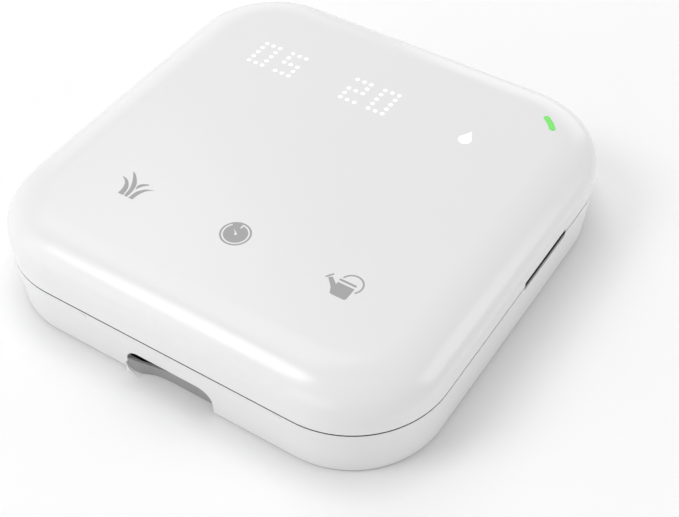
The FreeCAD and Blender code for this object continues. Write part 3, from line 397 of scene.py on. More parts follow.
marks = bmesh.new()
frames = [frame_line(x, -23.2, 6, 6.2) for x in triac_x] + [
    frame_line(-34.5, -31.5, 12, 6), frame_line(-34.5, -11, 8.6, 23), frame_line(-34.5, 8, 16.2, 5.4),
    frame_line(-14, 10, 13.6, 13.6), frame_line(33, -32, 8.4, 8.4), frame_line(-8, 35, 14.2, 6.6),
    frame_line(27, 31, 19.4, 21.4), frame_line(0, -36.5, 44, 13.6)]
lay_bands(marks, frames, 0.2, main_top, 0.05)
piece_of("main_board_print", marks, [print_white], "base")


# Cone of solder round a lead: wide on the board and drawn up thin on the metal
def solder_cone(build, x, y, level, radius, high, lead, way=1):
    loops = []
    for share, rise in ((1.0, 0.0), (0.86, 0.06), (0.55, 0.35), (lead / radius, 1.0)):
        loops.append([build.verts.new((x + radius * share * math.cos(math.radians(turn)),
                                       y + radius * share * math.sin(math.radians(turn)),
                                       level + way * high * rise)) for turn in range(0, 360, 30)])
    for lower, upper in zip(loops, loops[1:]):
        for index in range(12):
            after = (index + 1) % 12
            build.faces.new((lower[index], lower[after], upper[after], upper[index])).smooth = True


joints = bmesh.new()
leads = [(x + 1.265 * leg, -23) for x in triac_x for leg in (-1, 0, 1)]
leads += [(-37, -31.5), (-32, -31.5)] + [(-34.5 + 3.625 * (leg - 1.5), 8) for leg in range(4)]
leads += [(x, y) for x in header_x for y in (33.1, 36.9)]
for x, y in leads:
    solder_cone(joints, x, y, main_top, 0.95, 0.7, 0.3)
for x, y in [(-40.5, 19), (-40.5, 32), (-34.5, -19.9), (-34.5, -2.1)]:
    solder_cone(joints, x, y, main_top, 1.2, 0.35, 0.4)
piece_of("main_board_solder", joints, [solder_tin], "base")

part_black = moulded("part_black", (0.025, 0.025, 0.028), 0.42, 0.12 * mm, 0.006 * mm)
part_tan = moulded("part_tan", (0.42, 0.31, 0.2), 0.4, 0.15 * mm, 0.006 * mm)


# Chip resistor or capacitor: a ceramic body with two plated ends on small pads of solder
def chip_part(build, x, y, level, long, wide, high, turn, kind, way=1):
    cosine, sine = math.cos(math.radians(turn)), math.sin(math.radians(turn))
    for share in (-1, 1):
        centre = long * 0.41 * share
        spot = (x + centre * cosine, y + centre * sine)
        raise_outline(build, box_outline(*spot, long * 0.24, wide * 1.02, turn), level,
                      level + way * high * 1.03, 0.05 * way, 1)
        pad = (x + centre * 1.25 * cosine, y + centre * 1.25 * sine)
        raise_outline(build, box_outline(*pad, long * 0.4, wide * 1.15, turn), level,
                      level + way * 0.12, 0.04 * way, 1)
    raise_outline(build, box_outline(x, y, long * 0.62, wide, turn), level, level + way * high,
                  0.05 * way, kind)


# Small moulded package with bent leads along two sides
def small_package(build, x, y, level, long, wide, high, leads, turn, way=1):
    cosine, sine = math.cos(math.radians(turn)), math.sin(math.radians(turn))
    raise_outline(build, box_outline(x, y, long, wide, turn), level + way * 0.12, level + way * high,
                  0.18 * way, 0)
    for side in (-1, 1):
        for index in range(leads):
            a = (index - (leads - 1) / 2) * 1.27
            for reach, low, top, deep in ((0.25, high * 0.42, high * 0.55, 0.7), (0.62, 0.0, high * 0.55, 0.2),
                                          (0.9, 0.0, 0.16, 0.7)):
                b = side * (wide / 2 + reach)
                spot = (x + a * cosine - b * sine, y + a * sine + b * cosine)
                raise_outline(build, box_outline(*spot, 0.42, deep, turn), level + way * low,
                              level + way * top, 0.0, 1)


small = bmesh.new()
for index, x in enumerate(triac_x):
    small_package(small, x, -10, main_top, 4.4, 3.8, 2.0, 2, 0)
    chip_part(small, x + 1.3, -18, main_top, 2.0, 1.25, 0.5, 90, 0)
    chip_part(small, x - 1.3, -18, main_top, 2.0, 1.25, 0.5, 90, 0)
    chip_part(small, x - 1.3, -4.8, main_top, 1.6, 0.8, 0.45, 90, 0)
for x, y, turn, kind in ((1, 12.5, 0, 2), (1, 10.5, 0, 2), (15.4, 12.8, 90, 2), (15.4, 2.2, 0, 2),
                         (3.5, 0.6, 90, 2), (-22.5, 1, 0, 0), (-22.5, 3, 0, 2), (-4.2, 3.4, 90, 2),
                         (-4.2, 6.4, 90, 2), (-22.6, 16.5, 90, 2), (-22.6, 20, 90, 2), (12.5, 17.5, 0, 0),
                         (12.5, 19.3, 0, 0), (12.5, 21.1, 0, 0), (38.6, 24, 90, 2), (38.6, 28, 90, 2),
                         (38.6, 32, 90, 0), (27.5, -27, 0, 0), (24, -32, 90, 2), (38.5, -25, 0, 2)):
    chip_part(small, x, y, main_top, 2.0, 1.25, 0.6 if kind == 2 else 0.5, turn, kind)
for index in range(5):
    chip_part(small, header_x[index], 29, main_top, 1.6, 0.8, 0.45, 90, 0)
small_package(small, -14, -1.2, main_top, 4.9, 3.9, 1.75, 4, 0)
small_package(small, 27, 14.5, main_top, 2.9, 1.6, 1.2, 2, 0)
for y in (-27.6, -15.6):
    raise_outline(small, box_outline(-26, y, 4.3, 2.6), main_top, main_top + 2.2, 0.3, 0)
    for x in (-28.4, -23.6):
        raise_outline(small, box_outline(x, y, 0.9, 1.6), main_top, main_top + 0.9, 0.1, 1)
crystal = [(2 + 3.6 * side + 1.7 * math.cos(math.radians(turn)), 20 + 1.7 * math.sin(math.radians(turn)))
           for side, start in ((1, -90), (-1, 90)) for turn in range(start, start + 181, 15)]
raise_outline(small, crystal, main_top, main_top + 0.4, 0.05, 1)
raise_outline(small, [(2 + (x - 2) * 0.93, 20 + (y - 20) * 0.82) for x, y in crystal], main_top + 0.4,
              main_top + 3.2, 0.35, 1)
piece_of("main_board_small_parts", small, [part_black, solder_tin, part_tan], "base")

# Board screws: zinc-plated steel pan heads with a cross slot, turned and then rolled.
# Four hold the main board to its posts and four hold the display board to the cover.
screw_steel = metal("screw_steel", (0.68, 0.69, 0.72), 0.3, (1, 6, 1), 0.006)
dress(screw_steel, *[name for name in nodes if "board_screw" in name])

# Terminal strip: grey moulded nylon with eight wire funnels and eight orange release tabs.
# A plated clamp shows deep in each funnel, and each tab is pressed with a screwdriver in its slot.
terminal_grey = moulded("terminal_grey", (0.2, 0.21, 0.23), 0.42, 0.35 * mm, 0.015 * mm)
tab_orange = moulded("tab_orange", (0.82, 0.22, 0.025), 0.36, 0.35 * mm, 0.012 * mm)
dress(terminal_grey, "terminal_block")
dress(tab_orange, *[f"terminal_tab_{index + 1}" for index in range(8)])
clamps = bmesh.new()
for x in terminal_x:
    for reach, depth in ((1.38, -38.2), (0.75, -37.9)):
        loop = [(x + reach * math.cos(math.radians(turn)), 15 + reach * math.sin(math.radians(turn)))
                for turn in range(0, 360, 20)]
        outer = [clamps.verts.new((a, depth, b)) for a, b in loop]
        inner = [clamps.verts.new((x + (a - x) * 0.45, depth + 0.25, 15 + (b - 15) * 0.45)) for a, b in loop]
        for index in range(len(loop)):
            after = (index + 1) % len(loop)
            clamps.faces.new((outer[index], outer[after], inner[after], inner[index])).smooth = True
piece_of("wire_clamps", clamps, [solder_tin], "base")


# Parts on legs: a moulded or dipped body above a level, and tinned wire legs below it
def legged(name, tone, gloss, level):
    surface = moulded(name, tone, gloss, 0.15 * mm, 0.008 * mm)
    height = place_in_mm(surface)[2]
    body = reckon(surface, "GREATER_THAN", height, level)
    plastic = surface.node_tree.nodes["Principled BSDF"].inputs["Base Color"].links[0].from_socket
    mixed = step(surface, "Mix", {0: body, 6: (0.7, 0.71, 0.72, 1), 7: plastic}, 2, data_type="RGBA")
    feed(surface, "Base Color", mixed)
    feed(surface, "Metallic", reckon(surface, "SUBTRACT", 1.0, body))
    return surface


# Valve switches, varistor and bridge rectifier: the power parts, soldered upright on their legs.
# The switches and the bridge are moulded black epoxy, and the varistor is dipped in blue lacquer.
triac_black = legged("triac_black", (0.028, 0.028, 0.03), 0.38, main_top + 2.5)
dress(triac_black, *[f"triac_{index + 1}" for index in range(6)])
bridge_black = legged("bridge_black", (0.03, 0.03, 0.032), 0.45, main_top + 2.0)
dress(bridge_black, "bridge_rectifier")
varistor_blue = legged("varistor_blue", (0.035, 0.12, 0.42), 0.2, main_top + 1.35)
dress(varistor_blue, "varistor")

# Fuse: a glass tube with plated caps and a fine wire inside, held in two sprung tinned clips
fuse_glass = bpy.data.materials.new("fuse_glass")
fuse_glass.use_nodes = True
along = place_in_mm(fuse_glass)[1]
from_middle = reckon(fuse_glass, "ABSOLUTE", reckon(fuse_glass, "ADD", along, 11.0))
cap = reckon(fuse_glass, "GREATER_THAN", from_middle, 5.0)
place = step(fuse_glass, "TexCoord", {}, "Object")
wear = step(fuse_glass, "TexNoise", {"Vector": place, "Scale": 500, "Detail": 3})
feed(fuse_glass, "Base Color", between(fuse_glass, cap, (0.95, 0.97, 0.97), (0.75, 0.75, 0.76)))
feed(fuse_glass, "Metallic", cap)
feed(fuse_glass, "Roughness", step(fuse_glass, "MapRange", {
    "Value": reckon(fuse_glass, "MULTIPLY", cap, wear), "To Min": 0.02, "To Max": 0.4}))
feed(fuse_glass, "Transmission Weight", reckon(fuse_glass, "SUBTRACT", 1.0, cap))
dress(fuse_glass, "fuse")
clip_tin = metal("clip_tin", (0.78, 0.77, 0.74), 0.22, (1, 8, 1))
dress(clip_tin, "fuse_clip_1", "fuse_clip_2")

# Filter capacitors: aluminium cans in a shrunk dark sleeve with a pale stripe down one side.
# The bare top is scored with a cross so that it can vent.
capacitor_sleeve = bpy.data.materials.new("capacitor_sleeve")
capacitor_sleeve.use_nodes = True
across, along, up = place_in_mm(capacitor_sleeve)
side_x = reckon(capacitor_sleeve, "ADD", across, 34.5)
side_y = reckon(capacitor_sleeve, "SUBTRACT", reckon(
    capacitor_sleeve, "MODULO", reckon(capacitor_sleeve, "SUBTRACT", along, 12.5), 13.0), 6.5)
round_way = reckon(capacitor_sleeve, "ARCTAN2", side_y, side_x)
stripe = reckon(capacitor_sleeve, "COMPARE", round_way, -0.6)
stripe.node.inputs[2].default_value = 0.35
radius = reckon(capacitor_sleeve, "SQRT", reckon(
    capacitor_sleeve, "ADD", reckon(capacitor_sleeve, "MULTIPLY", side_x, side_x),
    reckon(capacitor_sleeve, "MULTIPLY", side_y, side_y)))
can_top = reckon(capacitor_sleeve, "MULTIPLY",
                 reckon(capacitor_sleeve, "GREATER_THAN", up, main_top + 11.7),
                 reckon(capacitor_sleeve, "LESS_THAN", radius, 4.35))
thin_x = reckon(capacitor_sleeve, "LESS_THAN", reckon(capacitor_sleeve, "ABSOLUTE", side_x), 0.14)
thin_y = reckon(capacitor_sleeve, "LESS_THAN", reckon(capacitor_sleeve, "ABSOLUTE", side_y), 0.14)
score = reckon(capacitor_sleeve, "MULTIPLY", reckon(capacitor_sleeve, "MAXIMUM", thin_x, thin_y),
               reckon(capacitor_sleeve, "LESS_THAN", radius, 3.3))
sleeve = between(capacitor_sleeve, stripe, (0.02, 0.03, 0.075), (0.45, 0.5, 0.58))
feed(capacitor_sleeve, "Base Color", step(capacitor_sleeve, "Mix", {
    0: can_top, 6: sleeve, 7: (0.72, 0.73, 0.75, 1)}, 2, data_type="RGBA"))
feed(capacitor_sleeve, "Metallic", can_top)
feed(capacitor_sleeve, "Roughness", spread(capacitor_sleeve, can_top, 0, 1, 0.28, 0.38))
feed(capacitor_sleeve, "Normal", step(capacitor_sleeve, "Bump", {
    "Height": reckon(capacitor_sleeve, "MULTIPLY", score, can_top), "Strength": 0.8,
    "Distance": 0.12 * mm}, invert=True))
dress(capacitor_sleeve, "filter_capacitor_1", "filter_capacitor_2")

# Power inductor: a square of pressed grey ferrite with a filled ring round its winding
ferrite_grey = moulded("ferrite_grey", (0.075, 0.075, 0.08), 0.6, 0.18 * mm, 0.03 * mm)
across, along, up = place_in_mm(ferrite_grey)
from_axis = reckon(ferrite_grey, "SQRT", reckon(
    ferrite_grey, "ADD", reckon(ferrite_grey, "POWER", reckon(ferrite_grey, "ADD", across, 14.0), 2.0),
    reckon(ferrite_grey, "POWER", reckon(ferrite_grey, "SUBTRACT", along, 10.0), 2.0)))
filled = reckon(ferrite_grey, "COMPARE", from_axis, 4.75)
filled.node.inputs[2].default_value = 0.38
ferrite = ferrite_grey.node_tree.nodes["Principled BSDF"].inputs["Base Color"].links[0].from_socket
feed(ferrite_grey, "Base Color", step(ferrite_grey, "Mix", {
    0: filled, 6: ferrite, 7: (0.36, 0.19, 0.1, 1)}, 2, data_type="RGBA"))
dress(ferrite_grey, "power_inductor")


# Bent leads on all four sides of a flat square chip, each a folded strip of tinned metal
def chip_leads(name, x, y, level, side, pitch, count, high, body, way=1):
    build = bmesh.new()
    profile = [(-0.1, 0.62), (0.35, 0.62), (0.6, 0.1), (1.15, 0.1), (1.15, 0.0), (0.5, 0.0), (0.25, 0.52),
               (-0.1, 0.52)]
    for turn in range(0, 360, 90):
        cosine, sine = math.cos(math.radians(turn)), math.sin(math.radians(turn))
        for index in range(count):
            centre = (index - (count - 1) / 2) * pitch
            rims = []
            for shift in (-pitch * 0.22, pitch * 0.22):
                rim = []
                for out, rise in profile:
                    a, b = side / 2 + out, centre + shift
                    rim.append(build.verts.new((x + a * cosine - b * sine, y + a * sine + b * cosine,
                                                level + way * rise * high)))
                rims.append(rim)
            build.faces.new(rims[0])
            build.faces.new(rims[1])
            for corner in range(len(profile)):
                after = (corner + 1) % len(profile)
                build.faces.new((rims[0][corner], rims[0][after], rims[1][after], rims[1][corner]))
    return piece_of(name, build, [solder_tin], body)


# Main chips: flat moulded epoxy squares with rows of bent leads and a round dimple at lead one.
# One runs the valves from the main board, and one drives the lights from the display board.
def dimpled(name, spot_x, spot_y):
    surface = moulded(name, (0.022, 0.022, 0.024), 0.5, 0.1 * mm, 0.01 * mm)
    across, along, up = place_in_mm(surface)
    away = reckon(surface, "SQRT", reckon(
        surface, "ADD", reckon(surface, "POWER", reckon(surface, "SUBTRACT", across, spot_x), 2.0),
        reckon(surface, "POWER", reckon(surface, "SUBTRACT", along, spot_y), 2.0)))
    dimple = reckon(surface, "LESS_THAN", away, 0.6)
    grain = surface.node_tree.nodes["Bump"].outputs[0]
    feed(surface, "Normal", step(surface, "Bump", {"Height": dimple, "Strength": 0.9, "Normal": grain,
                                                  "Distance": 0.1 * mm}, invert=True))
    return surface


dress(dimpled("controller_black", 4.3, 4.3), "controller_chip")
dress(dimpled("display_chip_black", -5.6, -5.6), "display_chip")
chip_leads("controller_chip_leads", 8, 8, main_top, 10, 0.8, 11, 1.3, "base")
display_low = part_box("display_board")[0][2] / mm
chip_leads("display_chip_leads", 0, 0, display_low, 14, 0.8, 16, 1.3, "cover", -1)

# Radio: a thin board of its own with plated edge contacts and a folded aerial track at one end.
# A drawn tin-plated can is soldered over its chips, with its vent holes painted on its top as black spots of
# shade.
radio_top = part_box("radio_board")[1][2] / mm
radio_lacquer = moulded("radio_lacquer", (0.01, 0.035, 0.08), 0.26, 0.3 * mm, 0.006 * mm)
dress(radio_lacquer, "radio_board")
shield_steel = metal("shield_steel", (0.74, 0.75, 0.77), 0.3, (5, 1, 1))
across, along, up = place_in_mm(shield_steel)
# Painted shade: black round spots in the tin's colour stand for the dark inside seen through the vent holes
vent_hole_shade = reckon(shield_steel, "LESS_THAN", from_pattern(shield_steel, across, along, 2.6, 0.3), 0.55)
on_top = reckon(shield_steel, "GREATER_THAN", up, radio_top + 2.15)
vent_hole_shade = reckon(shield_steel, "MULTIPLY", vent_hole_shade, on_top)
tin = shield_steel.node_tree.nodes["Principled BSDF"].inputs["Base Color"].links[0].from_socket
feed(shield_steel, "Base Color", step(shield_steel, "Mix", {0: vent_hole_shade, 6: tin, 7: (0.02, 0.02, 0.02, 1)}, 2,
                                      data_type="RGBA"))
dress(shield_steel, "radio_shield")
aerial = bmesh.new()
fold = [(20, 36.6)]
for index in range(6):
    x = 20 + index * 2.6
    fold += [(x, 39.8), (x + 1.3, 39.8), (x + 1.3, 36.9), (x + 2.6, 36.9)]
lay_bands(aerial, [fold], 0.55, radio_top, 0.03)
for index in range(9):
    for x in (18, 36):
        raise_outline(aerial, box_outline(x, 22.2 + index * 1.6, 0.9, 0.8), main_top, radio_top + 0.04, 0.0)
piece_of("radio_aerial", aerial, [copper_gold], "base")

# Reset switch: a small black case under a bright pressed plate, with a nylon plunger to press
switch_case = legged("switch_case", (0.03, 0.03, 0.032), 0.4, -1000)
height = place_in_mm(switch_case)[2]
plate = reckon(switch_case, "GREATER_THAN", height, main_top + 3.3)
moulding = switch_case.node_tree.nodes["Principled BSDF"].inputs["Base Color"].links[0].from_socket
feed(switch_case, "Base Color", step(switch_case, "Mix", {0: plate, 6: moulding, 7: (0.7, 0.7, 0.7, 1)}, 2,
                                     data_type="RGBA"))
feed(switch_case, "Metallic", plate)
dress(switch_case, "reset_switch")
plunger_black = moulded("plunger_black", (0.035, 0.035, 0.036), 0.4, 0.2 * mm, 0.01 * mm)
dress(plunger_black, "reset_plunger")

# Clock cell: a bright steel coin with a rolled rim and a stamped plus, in a black ring holder.
# A sprung strip over its edge holds it down and makes contact.
cell_steel = metal("cell_steel", (0.78, 0.78, 0.77), 0.2, (1, 1, 1))
across, along, up = place_in_mm(cell_steel)
off_x = reckon(cell_steel, "ABSOLUTE", reckon(cell_steel, "SUBTRACT", across, 31.0))
off_y = reckon(cell_steel, "ABSOLUTE", reckon(cell_steel, "ADD", along, 5.0))
arm_x = reckon(cell_steel, "MULTIPLY", reckon(cell_steel, "LESS_THAN", off_x, 1.6),
               reckon(cell_steel, "LESS_THAN", off_y, 0.22))
arm_y = reckon(cell_steel, "MULTIPLY", reckon(cell_steel, "LESS_THAN", off_y, 1.6),
               reckon(cell_steel, "LESS_THAN", off_x, 0.22))
from_axis = reckon(cell_steel, "SQRT", reckon(cell_steel, "ADD", reckon(cell_steel, "POWER", off_x, 2.0),
                                              reckon(cell_steel, "POWER", off_y, 2.0)))
rolled = reckon(cell_steel, "COMPARE", from_axis, 6.9)
rolled.node.inputs[2].default_value = 0.16
stamped = reckon(cell_steel, "MAXIMUM", reckon(cell_steel, "MAXIMUM", arm_x, arm_y), rolled)
grain = cell_steel.node_tree.nodes["Bump"].outputs[0]
feed(cell_steel, "Normal", step(cell_steel, "Bump", {"Height": stamped, "Strength": 1.0, "Normal": grain,
                                                     "Distance": 0.15 * mm}, invert=True))
dress(cell_steel, "clock_cell")
holder_black = moulded("holder_black", (0.03, 0.03, 0.03), 0.45, 0.3 * mm, 0.02 * mm)
dress(holder_black, "cell_holder", "board_header", "board_socket")
cell_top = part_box("clock_cell")[1][2] / mm
strip = bmesh.new()
path = [(40.9, main_top), (40.9, cell_top + 0.45), (36.5, cell_top + 0.35), (35.2, cell_top + 0.06),
        (34.2, cell_top + 0.3)]
rims = [[strip.verts.new((x + shift, -5 + side, level + lift)) for x, level in path]
        for side in (-1.8, 1.8) for shift, lift in ((0, 0), (0.2, 0.2))]
for index in range(len(path) - 1):
    for first, second in ((0, 1), (1, 3), (3, 2), (2, 0)):
        strip.faces.new((rims[first][index], rims[first][index + 1], rims[second][index + 1],
                         rims[second][index]))
for end in (0, len(path) - 1):
    strip.faces.new((rims[0][end], rims[1][end], rims[3][end], rims[2][end]))
piece_of("cell_strip", strip, [clip_tin], "base")

# Board joint: gold-flashed square pins in a black header, which a socket under the display
# board slides over when the cover goes on
dress(metal("pin_brass", (0.86, 0.64, 0.28), 0.22, (1, 1, 6)), "header_pins")

# Front cover: the glossy-satin cap with the rounded shoulder, moulded in the same white plastic.
# It drops over the base's lip, and snap fingers hold it; the skin behind the digits is thinned
# so that the light dots shine through.
cover_white = moulded("cover_white", (0.80, 0.80, 0.80), 0.22, 0.6 * mm, 0.006 * mm)
dress(cover_white, "front_cover")
face_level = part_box("front_cover")[1][2]

# Display board: a second green board behind the face, which lifts off with the cover.
# Its back carries the light driver, the touch sensing chip and rows of small parts.
bands = bmesh.new()
lines = [track((-6 + index * 0.8, 8.2), (-34 + index * 4.6, 26), 0.2) for index in range(16)]
lines += [track((-3 + index * 0.8, -8.2), (-2.2 + index * 1.27 - 1.6, -20.5), 0.3) for index in range(5)]
lines += [[(-10, -25), (-20, -25), (-33, -38)], [(10, -25), (20, -25), (33, -38)], [(0, -28), (0, -34)],
          [(8.2, 3), (20, 3), (33, 16), (33, 30)], [(8.2, 5), (19, 5), (40, 26), (40, 42), (50, 52)]]
lay_bands(bands, lines, 0.35, display_low, -0.03)
piece_of("display_board_tracks", bands, [track_green], "cover")
small = bmesh.new()
small_package(small, 0, -24, display_low, 8.7, 3.9, 1.6, 7, 0, -1)
small_package(small, -24, 14, display_low, 9.9, 3.9, 1.6, 8, 0, -1)
small_package(small, 22, 16, display_low, 4.9, 3.9, 1.6, 4, 90, -1)
for index in range(15):
    chip_part(small, -33.5 + index * 2.4, 22.5, display_low, 1.6, 0.8, 0.45, 90, 0, -1)
for x, y, turn in ((-9.5, -4, 90), (-9.5, 4, 90), (9.5, -4, 90), (9.6, 7, 90), (-4, -10.5, 0), (4, 10.4, 0),
                   (-7, -20, 0), (7, -20, 0), (-33, 9, 90), (-14, 9, 90), (24, 9, 0), (30, 22, 90),
                   (48, 46, 0), (-40, -30, 90), (40, -30, 90), (36, 28, 0)):
    chip_part(small, x, y, display_low, 2.0, 1.25, 0.6, turn, 2, -1)
piece_of("display_board_small_parts", small, [part_black, solder_tin, part_tan], "cover")
joints = bmesh.new()
for x in header_x:
    for y in (33.73, 36.27):
        solder_cone(joints, x, y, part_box("display_board")[1][2] / mm, 0.85, 0.6, 0.3)
piece_of("display_board_solder", joints, [solder_tin], "cover")

# Light guides: a black grid with one well for each dot and a tube for the drop, so that no light
# leaks sideways between them. They stand on the display board and reach up to the thinned skin.
grid_black = moulded("grid_black", (0.02, 0.02, 0.02), 0.6, 0.3 * mm, 0.02 * mm)
dress(grid_black, "light_grid", "drop_tube")


# Light chips: white ceramic with tinned ends and a round window of yellow phosphor
def light_chip(name, first_x, first_y, pitch, window):
    surface = moulded(name, (0.75, 0.75, 0.72), 0.4, 0.1 * mm, 0.006 * mm)
    across, along, up = place_in_mm(surface)
    moved_x = reckon(surface, "SUBTRACT", across, first_x - pitch / 2)
    moved_y = reckon(surface, "SUBTRACT", along, first_y - pitch / 2)
    away = from_pattern(surface, moved_x, moved_y, pitch)
    phosphor = reckon(surface, "LESS_THAN", away, window)
    ceramic = surface.node_tree.nodes["Principled BSDF"].inputs["Base Color"].links[0].from_socket
    feed(surface, "Base Color", step(surface, "Mix", {0: phosphor, 6: ceramic, 7: (0.9, 0.72, 0.12, 1)}, 2,
                                     data_type="RGBA"))
    return surface


dress(light_chip("light_white_left", -44.215, 30.79, 2.655, 0.33), "digit_leds_1", "digit_leds_2")
dress(light_chip("light_white_right", -7.965, 30.79, 2.655, 0.33), "digit_leds_3", "digit_leds_4")
dress(light_chip("drop_lamp", 36.25, 36.1, 20, 1.1), "drop_led")
dress(light_chip("status_lamp", 55.31, 55.31, 20, 1.1), "status_led")

# Touch pads: rings of black conductive foam, pressed between the display board and the face.
# Each one carries the touch signal up to the icon above it.
foam_black = bpy.data.materials.new("foam_black")
foam_black.use_nodes = True
place = step(foam_black, "TexCoord", {}, "Object")
cells = step(foam_black, "TexVoronoi", {"Vector": place, "Scale": 2600}, feature="F1")
feed(foam_black, "Base Color", between(foam_black, cells, (0.012, 0.012, 0.013), (0.06, 0.06, 0.065)))
feed(foam_black, "Roughness", spread(foam_black, cells, 0, 1, 0.8, 0.95))
feed(foam_black, "Normal", step(foam_black, "Bump", {"Height": cells, "Strength": 0.8,
                                                    "Distance": 0.15 * mm}))
dress(foam_black, "touch_pad_1", "touch_pad_2", "touch_pad_3")

# Touch icons: grass, a clock dial and a watering can, pad printed on the face in grey ink.
# They mark where a finger is sensed, and lie a hundredth of a millimetre proud of the plastic.
ink_thickness = 0.01 * mm


def ring(x, y, radius, start, end, count):
    turns = [math.radians(start + (end - start) * index / count) for index in range(count + 1)]
    return [(x + radius * math.cos(turn), y + radius * math.sin(turn)) for turn in turns]


# Runs a smooth line through the given points
def eased(points, count=8):
    line = []
    for index in range(len(points) - 1):
        before = Vector(points[max(index - 1, 0)])
        start = Vector(points[index])
        end = Vector(points[index + 1])
        after = Vector(points[min(index + 2, len(points) - 1)])
        for share in range(count):
            t = share / count
            line.append(tuple(0.5 * (2 * start + (end - before) * t
                                     + (2 * before - 5 * start + 4 * end - after) * t ** 2
                                     + (3 * start - before - 3 * end + after) * t ** 3)))
    line.append(tuple(points[-1]))
    return line


# Bar of even width with round ends, along a line of points
def bar(points, width):
    half = width / 2
    left, right = [], []
    for index, point in enumerate(points):
        ahead = Vector(points[min(index + 1, len(points) - 1)])
        behind = Vector(points[max(index - 1, 0)])
        along = (ahead - behind).normalized()
        side = Vector((-along.y, along.x)) * half
        left.append(tuple(Vector(point) + side))
        right.append(tuple(Vector(point) - side))
    ends = []
    for point, towards in ((points[-1], Vector(points[-1]) - Vector(points[-2])),
                           (points[0], Vector(points[0]) - Vector(points[1]))):
        angle = math.degrees(math.atan2(towards.y, towards.x))
        ends.append(ring(*point, half, angle + 90, angle - 90, 10)[1:-1])
    return left + ends[0] + right[::-1] + ends[1]


# Flat film on the face, filled inside its outlines; an outline inside another is a hole
def film(name, shapes, thickness):
    curve = bpy.data.curves.new(name, "CURVE")
    curve.dimensions = "2D"
    curve.fill_mode = "BOTH"
    curve.extrude = thickness / 2
    for shape in shapes:
        spline = curve.splines.new("POLY")
        spline.points.add(len(shape) - 1)
        for point, (x, y) in zip(spline.points, shape):
            point.co = (x * mm, y * mm, 0, 1)
        spline.use_cyclic_u = True
    drawn = bpy.data.objects.new(name + "_outline", curve)
    mesh = bpy.data.meshes.new_from_object(drawn)
    mesh.transform(Matrix.Translation((0, 0, face_level + thickness / 2)))
    mesh.name = name
    bpy.data.objects.remove(drawn)
    piece = bpy.data.objects.new(name, mesh)
    bpy.context.collection.objects.link(piece)
    return piece


icon_ink = moulded("icon_ink", (0.36, 0.36, 0.365), 0.45, 0.12 * mm, 0.004 * mm)
grass_blades = [
    eased([(-39.9, -43), (-40, -41), (-40.6, -39), (-41.7, -37.6), (-43.6, -36.4)])
    + eased([(-43.6, -36.4), (-42, -36.6), (-40.6, -37.3), (-39.2, -38.8), (-38.4, -40.5), (-38, -43)]),
    eased([(-37.6, -43), (-38, -40), (-39, -37.5), (-40.2, -35.5), (-42, -33.1)])
    + eased([(-42, -33.1), (-40.5, -33.8), (-38.8, -35.4), (-37.4, -37.3), (-36.6, -40), (-36.5, -43)]),
    eased([(-36.3, -39.2), (-36.8, -37.5), (-36.2, -36.3), (-35, -35.5), (-34, -35.2)])
    + eased([(-34, -35.2), (-34.1, -35.7), (-35.2, -36.8), (-36, -38.3), (-36.3, -39.2)]),
    eased([(-35.9, -43), (-35.6, -40.2), (-34.8, -38.6), (-33.5, -37.3), (-31.1, -36.3)])
    + eased([(-31.1, -36.3), (-32.6, -37.5), (-33.6, -38.9), (-34.2, -41), (-34.4, -43)]),
]
dial_x, dial_y = 0.1, -38.1
dial_mark = (ring(dial_x, dial_y, 4.2, 93.5, -222, 80) + ring(dial_x, dial_y, 3.7, -222, 86, 80)
             + [(dial_x + 0.25, dial_y + 2.6), (dial_x - 0.25, dial_y + 2.6)])
dial_hand = [(-1.6, -36.6)] + ring(0.15, -38.2, 0.45, 62, -210, 20)
can_body = ([(41, -38.1), (35.5, -38.1), (35.5, -39.1), (33.2, -37.2), (32.2, -38), (34.8, -40.8)]
            + ring(36.4, -42.1, 0.9, 190, 270, 6) + ring(40.2, -42.2, 0.8, 270, 360, 6))
touch_icons = {
    "grass_icon": [grass_blades],
    "clock_icon": [[ring(dial_x, dial_y, 4.8, 0, 356, 89), dial_mark, dial_hand]],
    "watering_can_icon": [[can_body], [bar([(31.6, -38.1), (32.8, -36.3)], 0.6)],
                          [bar([(35.7, -36.97), (40.7, -36.97)], 0.75)],
                          [bar(ring(39.3, -36.95, 3.43, 160, -40, 40), 0.55)]],
}
for name, groups in touch_icons.items():
    films = [film(f"{name}_{index}" if index else name, group, ink_thickness)
             for index, group in enumerate(groups)]
    for extra in films:
        extra.data.materials.append(icon_ink)
        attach(extra, "cover")

# Digits and drop: light from the chips below comes up through the thinned skin of the face.
# Each dot is a round spot of light with a soft rim where the plastic spreads it.
dot_pitch = 2.655
dot_radius = 0.82
digit_rows = {"0": "111101101101111", "2": "111001111100111", "5": "111100111001111"}


def glow(name, body_tone, light_tone, strength):
    surface = bpy.data.materials.new(name)
    surface.use_nodes = True
    tree = surface.node_tree
    share = step(surface, "Attribute", {}, "Fac", attribute_name="light")
    place = step(surface, "TexCoord", {}, "Object")
    cloud = step(surface, "TexNoise", {"Vector": place, "Scale": 900, "Detail": 2})
    feed(surface, "Base Color", (*body_tone, 1))
    feed(surface, "Roughness", 0.3)
    feed(surface, "Emission Color", (*light_tone, 1))
    feed(surface, "Emission Strength", spread(surface, cloud, 0.3, 0.7, strength * 0.9, strength))
    clear = step(surface, "BsdfTransparent", {})
    body = tree.nodes["Principled BSDF"].outputs[0]
    both = step(surface, "MixShader", {0: share, 1: clear, 2: body})
    tree.links.new(both, tree.nodes["Material Output"].inputs["Surface"])
    return surface


